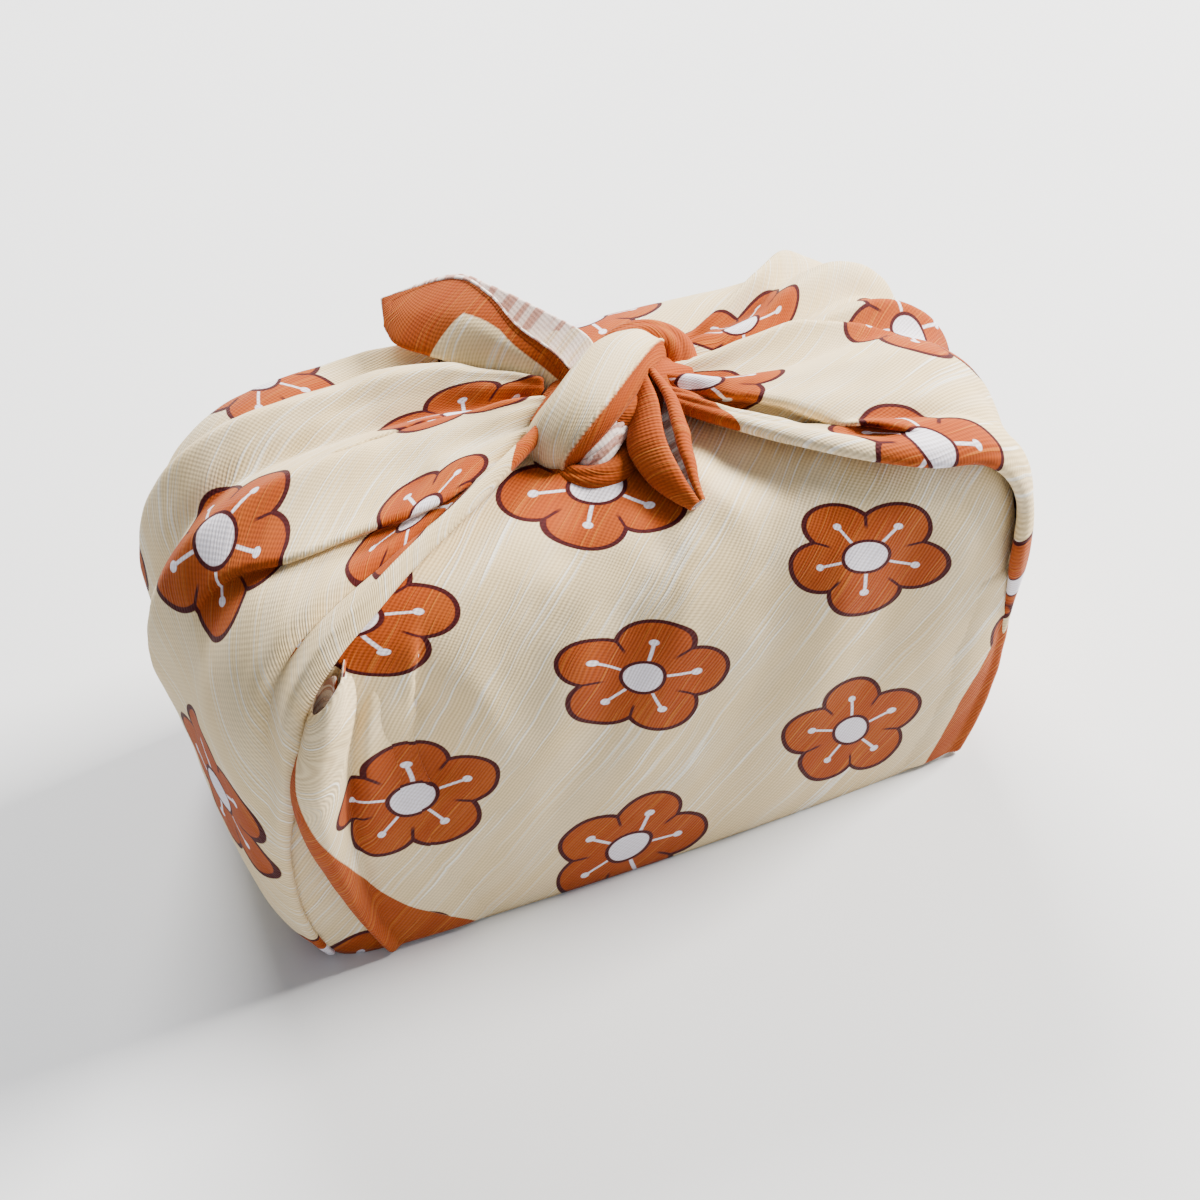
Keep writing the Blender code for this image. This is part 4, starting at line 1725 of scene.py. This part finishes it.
def right_wing(bundle: Bundle, square: Square) -> Wing:
    """The right corner, whose front edge stands off over a pocket."""
    return Wing(
        "right_wing",
        1,
        bundle,
        square,
        stations=(
            Station((73, -32, 1), (72, 37, 1), 0.2),
            Station((78, -34, 22), (79, 39, 22), 0.6),
            Station((80, -35, 45), (81, 41, 45), 1.0),
            Station((78, -37, 64), (80, 43, 66), 1.4),
            Station((75, -34, 79), (76, 44, 84), 1.8),
            Station((67, -32, 88), (66, 43, 91), 2.0),
            Station((55, -31.5, 92), (56, 37, 94), 2.2),
            Station((41, -27.5, 94), (46, 29, 96), 2.6),
            Station((29, -21, 95), (35, 22, 96), 3.2),
            Station((20, -13, 96), (24, 17, 97), 4.0),
            Station((12, -4, 96), (13, 12, 96), 4.6),
        ),
        pleats=(
            Pleat(0.08, 0.11, 0.24, -2.0, 3.0, 0.45),
            Pleat(0.30, 0.32, 0.38, 2.0, 9.0, 0.25),
            Pleat(0.46, 0.48, 0.48, -1.4, 4.5, 0.35, 0.3),
            Pleat(0.54, 0.58, 0.60, 2.8, 4.5, 0.30),
            Pleat(0.64, 0.68, 0.70, -2.2, 4.5, 0.30, -0.3),
            Pleat(0.76, 0.79, 0.80, 1.6, 4.5, 0.25),
            Pleat(0.86, 0.88, 0.88, -1.8, 3.5, 0.40),
            Pleat(0.94, 0.95, 0.95, 2.6, 3.2, 0.30),
        ),
        creases=(
            Crease(
                ((17, -3, 95), (26, -7, 95), (35, -12, 95), (45, -19, 95), (56, -28, 94)),
                -2.3,
                6.0,
                fade=0.18,
                shape=Shape.OVERLAP,
                reach=3.4,
            ),
            Crease(((30, -14, 95), (40, -21, 95), (50, -27, 94)), -1.2, 2.5),
            Crease(
                ((20, 6, 95), (35, 8, 95), (45, 7.5, 95), (58, 6, 94), (72, 4, 90)),
                1.1,
                8.0,
                fade=0.25,
                shape=Shape.OVERLAP,
                reach=1.2,
            ),
            Crease(((22, 9, 95), (30, 15.5, 95), (44, 25, 94), (54, 30, 92)), 1.8, 2.4),
            Crease(((22, 12, 95), (29, 19, 95), (40, 28, 94)), -1.5, 2.4),
            Crease(((24, 7, 95), (34, 14, 95), (50, 20, 94)), -1.4, 3.0),
            Crease(
                ((56, -32, 92), (64, -32, 90), (72, -32, 84), (78, -32, 74)),
                -1.3,
                5.0,
                fade=0.25,
                shape=Shape.OVERLAP,
                reach=1.8,
            ),
            Crease(((60, -22, 92), (74, -26, 86), (82, -28, 70)), 0.9, 4.0),
            Crease(((72, -34, 84), (80, -34, 72), (82, -33, 58)), -1.0, 3.0, 0.3),
            Crease(((70, 4, 92), (82, 2, 78), (84, 0, 56)), 0.8, 8.0),
        ),
        edge_rolls=(0.5, 0.6, 0.7, 0.9, 1.2, 1.3, 1.3, 1.3, 1.3, 1.3, 1.3),
        edge_heights=(0.8, 1.2, 1.6, 2.4, 4.6, 5.4, 5.8, 6.0, 6.0, 6.0, 6.0),
        lip=3.5,
        neck_patch=(0.90, 0.26),
        flat=(0.172, 0.080),
        edge_softness=1.8,
    )


def left_margin(bundle: Bundle, square: Square) -> FlapEdge:
    """The front flap's left edge, a roll that opens at its top."""
    return FlapEdge(
        "front_left_roll",
        -1,
        bundle,
        square,
        margins=(
            Margin((-75.5, -35.5, 84), (-61, -32.5, 92), -0.10),
            Margin((-78, -36, 77), (-57, -36.5, 82), 0.05),
            Margin((-80, -36, 66), (-55, -38, 68), 0.11),
            Margin((-80, -36.5, 55), (-52, -38, 53), 0.175),
            Margin((-78, -37, 42), (-49, -39, 40), 0.25),
            Margin((-74, -38, 24), (-43, -39, 22), 0.36),
            Margin((-66, -38, 1), (-34, -39, 1), 0.64),
        ),
        radii=(5.0, 4.8, 4.2, 3.2, 2.0, 1.1, 0.6),
        heights=(-0.6, -0.4, 0.0, 0.4, 0.9, 1.0, 0.8),
        puff=(3.0, 3.0, 2.6, 1.8, 1.1, 0.8, 0.7),
        valley=-3.7,
        curl=(300, 140),
        flat=(0.088, 0.036),
    )


def right_margin(bundle: Bundle, square: Square) -> FlapEdge:
    """The front flap's right edge, a low fold round the front right corner."""
    return FlapEdge(
        "front_right_edge",
        1,
        bundle,
        square,
        margins=(
            Margin((80, -33, 60), (64, -39, 64), -0.20),
            Margin((80, -33, 44), (63, -39, 44), 0.12),
            Margin((78, -33, 26), (60, -39, 26), 0.45),
            Margin((71, -35, 1), (54, -39, 1), 0.50),
        ),
        radii=(0.6, 0.7, 0.7, 0.6),
        heights=(0.5, 0.7, 0.7, 0.6),
        puff=(0.6, 0.6),
        valley=0.0,
        curl=(190, 190),
        flat=(0.062, 0.020),
        rows=100,
    )


KNOT_STRANDS = (
    Strand(
        "knot_heart",
        (
            Bend((-13, 0, 95), 4.0, 6.0),
            Bend((-6, 2, 97), 9.5, 7.5),
            Bend((3, 3, 98), 12.0, 8.4),
            Bend((11, 4, 97), 9.5, 7.6),
            Bend((19, 4, 95), 4.0, 6.0),
        ),
        (0, 1, 0),
        (0.033, 0.028),
        (
            (0.05, 0.2, 0.10),
            (0.17, 0.16, 0.12),
            (0.33, 0.2, 0.10),
            (0.60, 0.2, 0.10),
            (0.85, 0.2, 0.10),
        ),
    ),
    Strand(
        "back_loop",
        (
            Bend((3, 14, 93), 3.4, 3.0),
            Bend((9.5, 17, 98.5), 3.8, 3.4),
            Bend((15.5, 15.5, 100.5), 4.1, 3.7),
            Bend((19.5, 10.5, 100), 4.2, 3.8),
            Bend((18.5, 5, 97.0), 4.0, 3.4),
            Bend((13, 1, 93), 3.6, 3.0),
        ),
        (0.4, 0.4, 0.8),
        (0.034, 0.013),
        ((0.08, 0.25, 0.10), (0.42, 0.35, 0.26), (0.62, 0.2, 0.10), (0.25, 0.12, 0.08)),
    ),
    Strand(
        "front_loop",
        (
            Bend((-13, -4, 92), 2.4, 2.3),
            Bend((-11.3, -10, 93.8), 2.6, 2.5),
            Bend((-7, -13.2, 94.4), 3.0, 2.7),
            Bend((-2, -12.6, 94.8), 3.0, 2.7),
            Bend((2, -6, 94), 2.8, 2.6),
        ),
        (0, 0, 1),
        (0.026, 0.010),
        ((0.10, 0.3, 0.14), (0.35, 0.3, 0.10), (0.70, 0.3, 0.12)),
    ),
)


KNOT_INSIDE = Panel(
    "knot_inside",
    upper=((-10.5, -4.0, 96.5), (-7.0, -3.4, 100.0), (-2.0, -2.2, 102.0), (4.6, -1.5, 103.0)),
    lower=((-9.0, -9.4, 94.6), (-7.6, -11.6, 95.8), (-4.0, -11.8, 97.0), (1.4, -8.4, 99.2)),
    swell=(0.2, -1.5, 1.1),
    tint=(-6.0, -6.0),
    facing=(0.0, 1.0, -0.6),
    flat=(0.018, 0.010),
    grooves=0.16,
)


def main() -> None:
    """Build the wrap piece by piece, then the studio."""
    logging.basicConfig(level=logging.INFO, format="%(message)s")
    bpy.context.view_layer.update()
    bundle, square, finish = Bundle(), Square(), PrintedCloth()
    pieces = [
        (WrappedFlap(bundle, square), [NODE]),
        (left_wing(bundle, square), ["wrapped_flap"]),
        (right_wing(bundle, square), ["wrapped_flap"]),
        (left_margin(bundle, square), ["wrapped_flap", "left_wing"]),
        (right_margin(bundle, square), ["wrapped_flap", "right_wing"]),
        *((strand, ["left_wing", "right_wing"]) for strand in KNOT_STRANDS),
        (KnotBand(), ["knot_heart"]),
        (KNOT_INSIDE, ["knot_heart", "knot_band"]),
        (FrontTip(), ["knot_heart"]),
        (BackTip(), ["knot_heart", "left_wing"]),
    ]
    for piece, rests_on in pieces:
        piece.build(finish, rests_on)
    Studio().build()


if __name__ == "__main__":
    main()
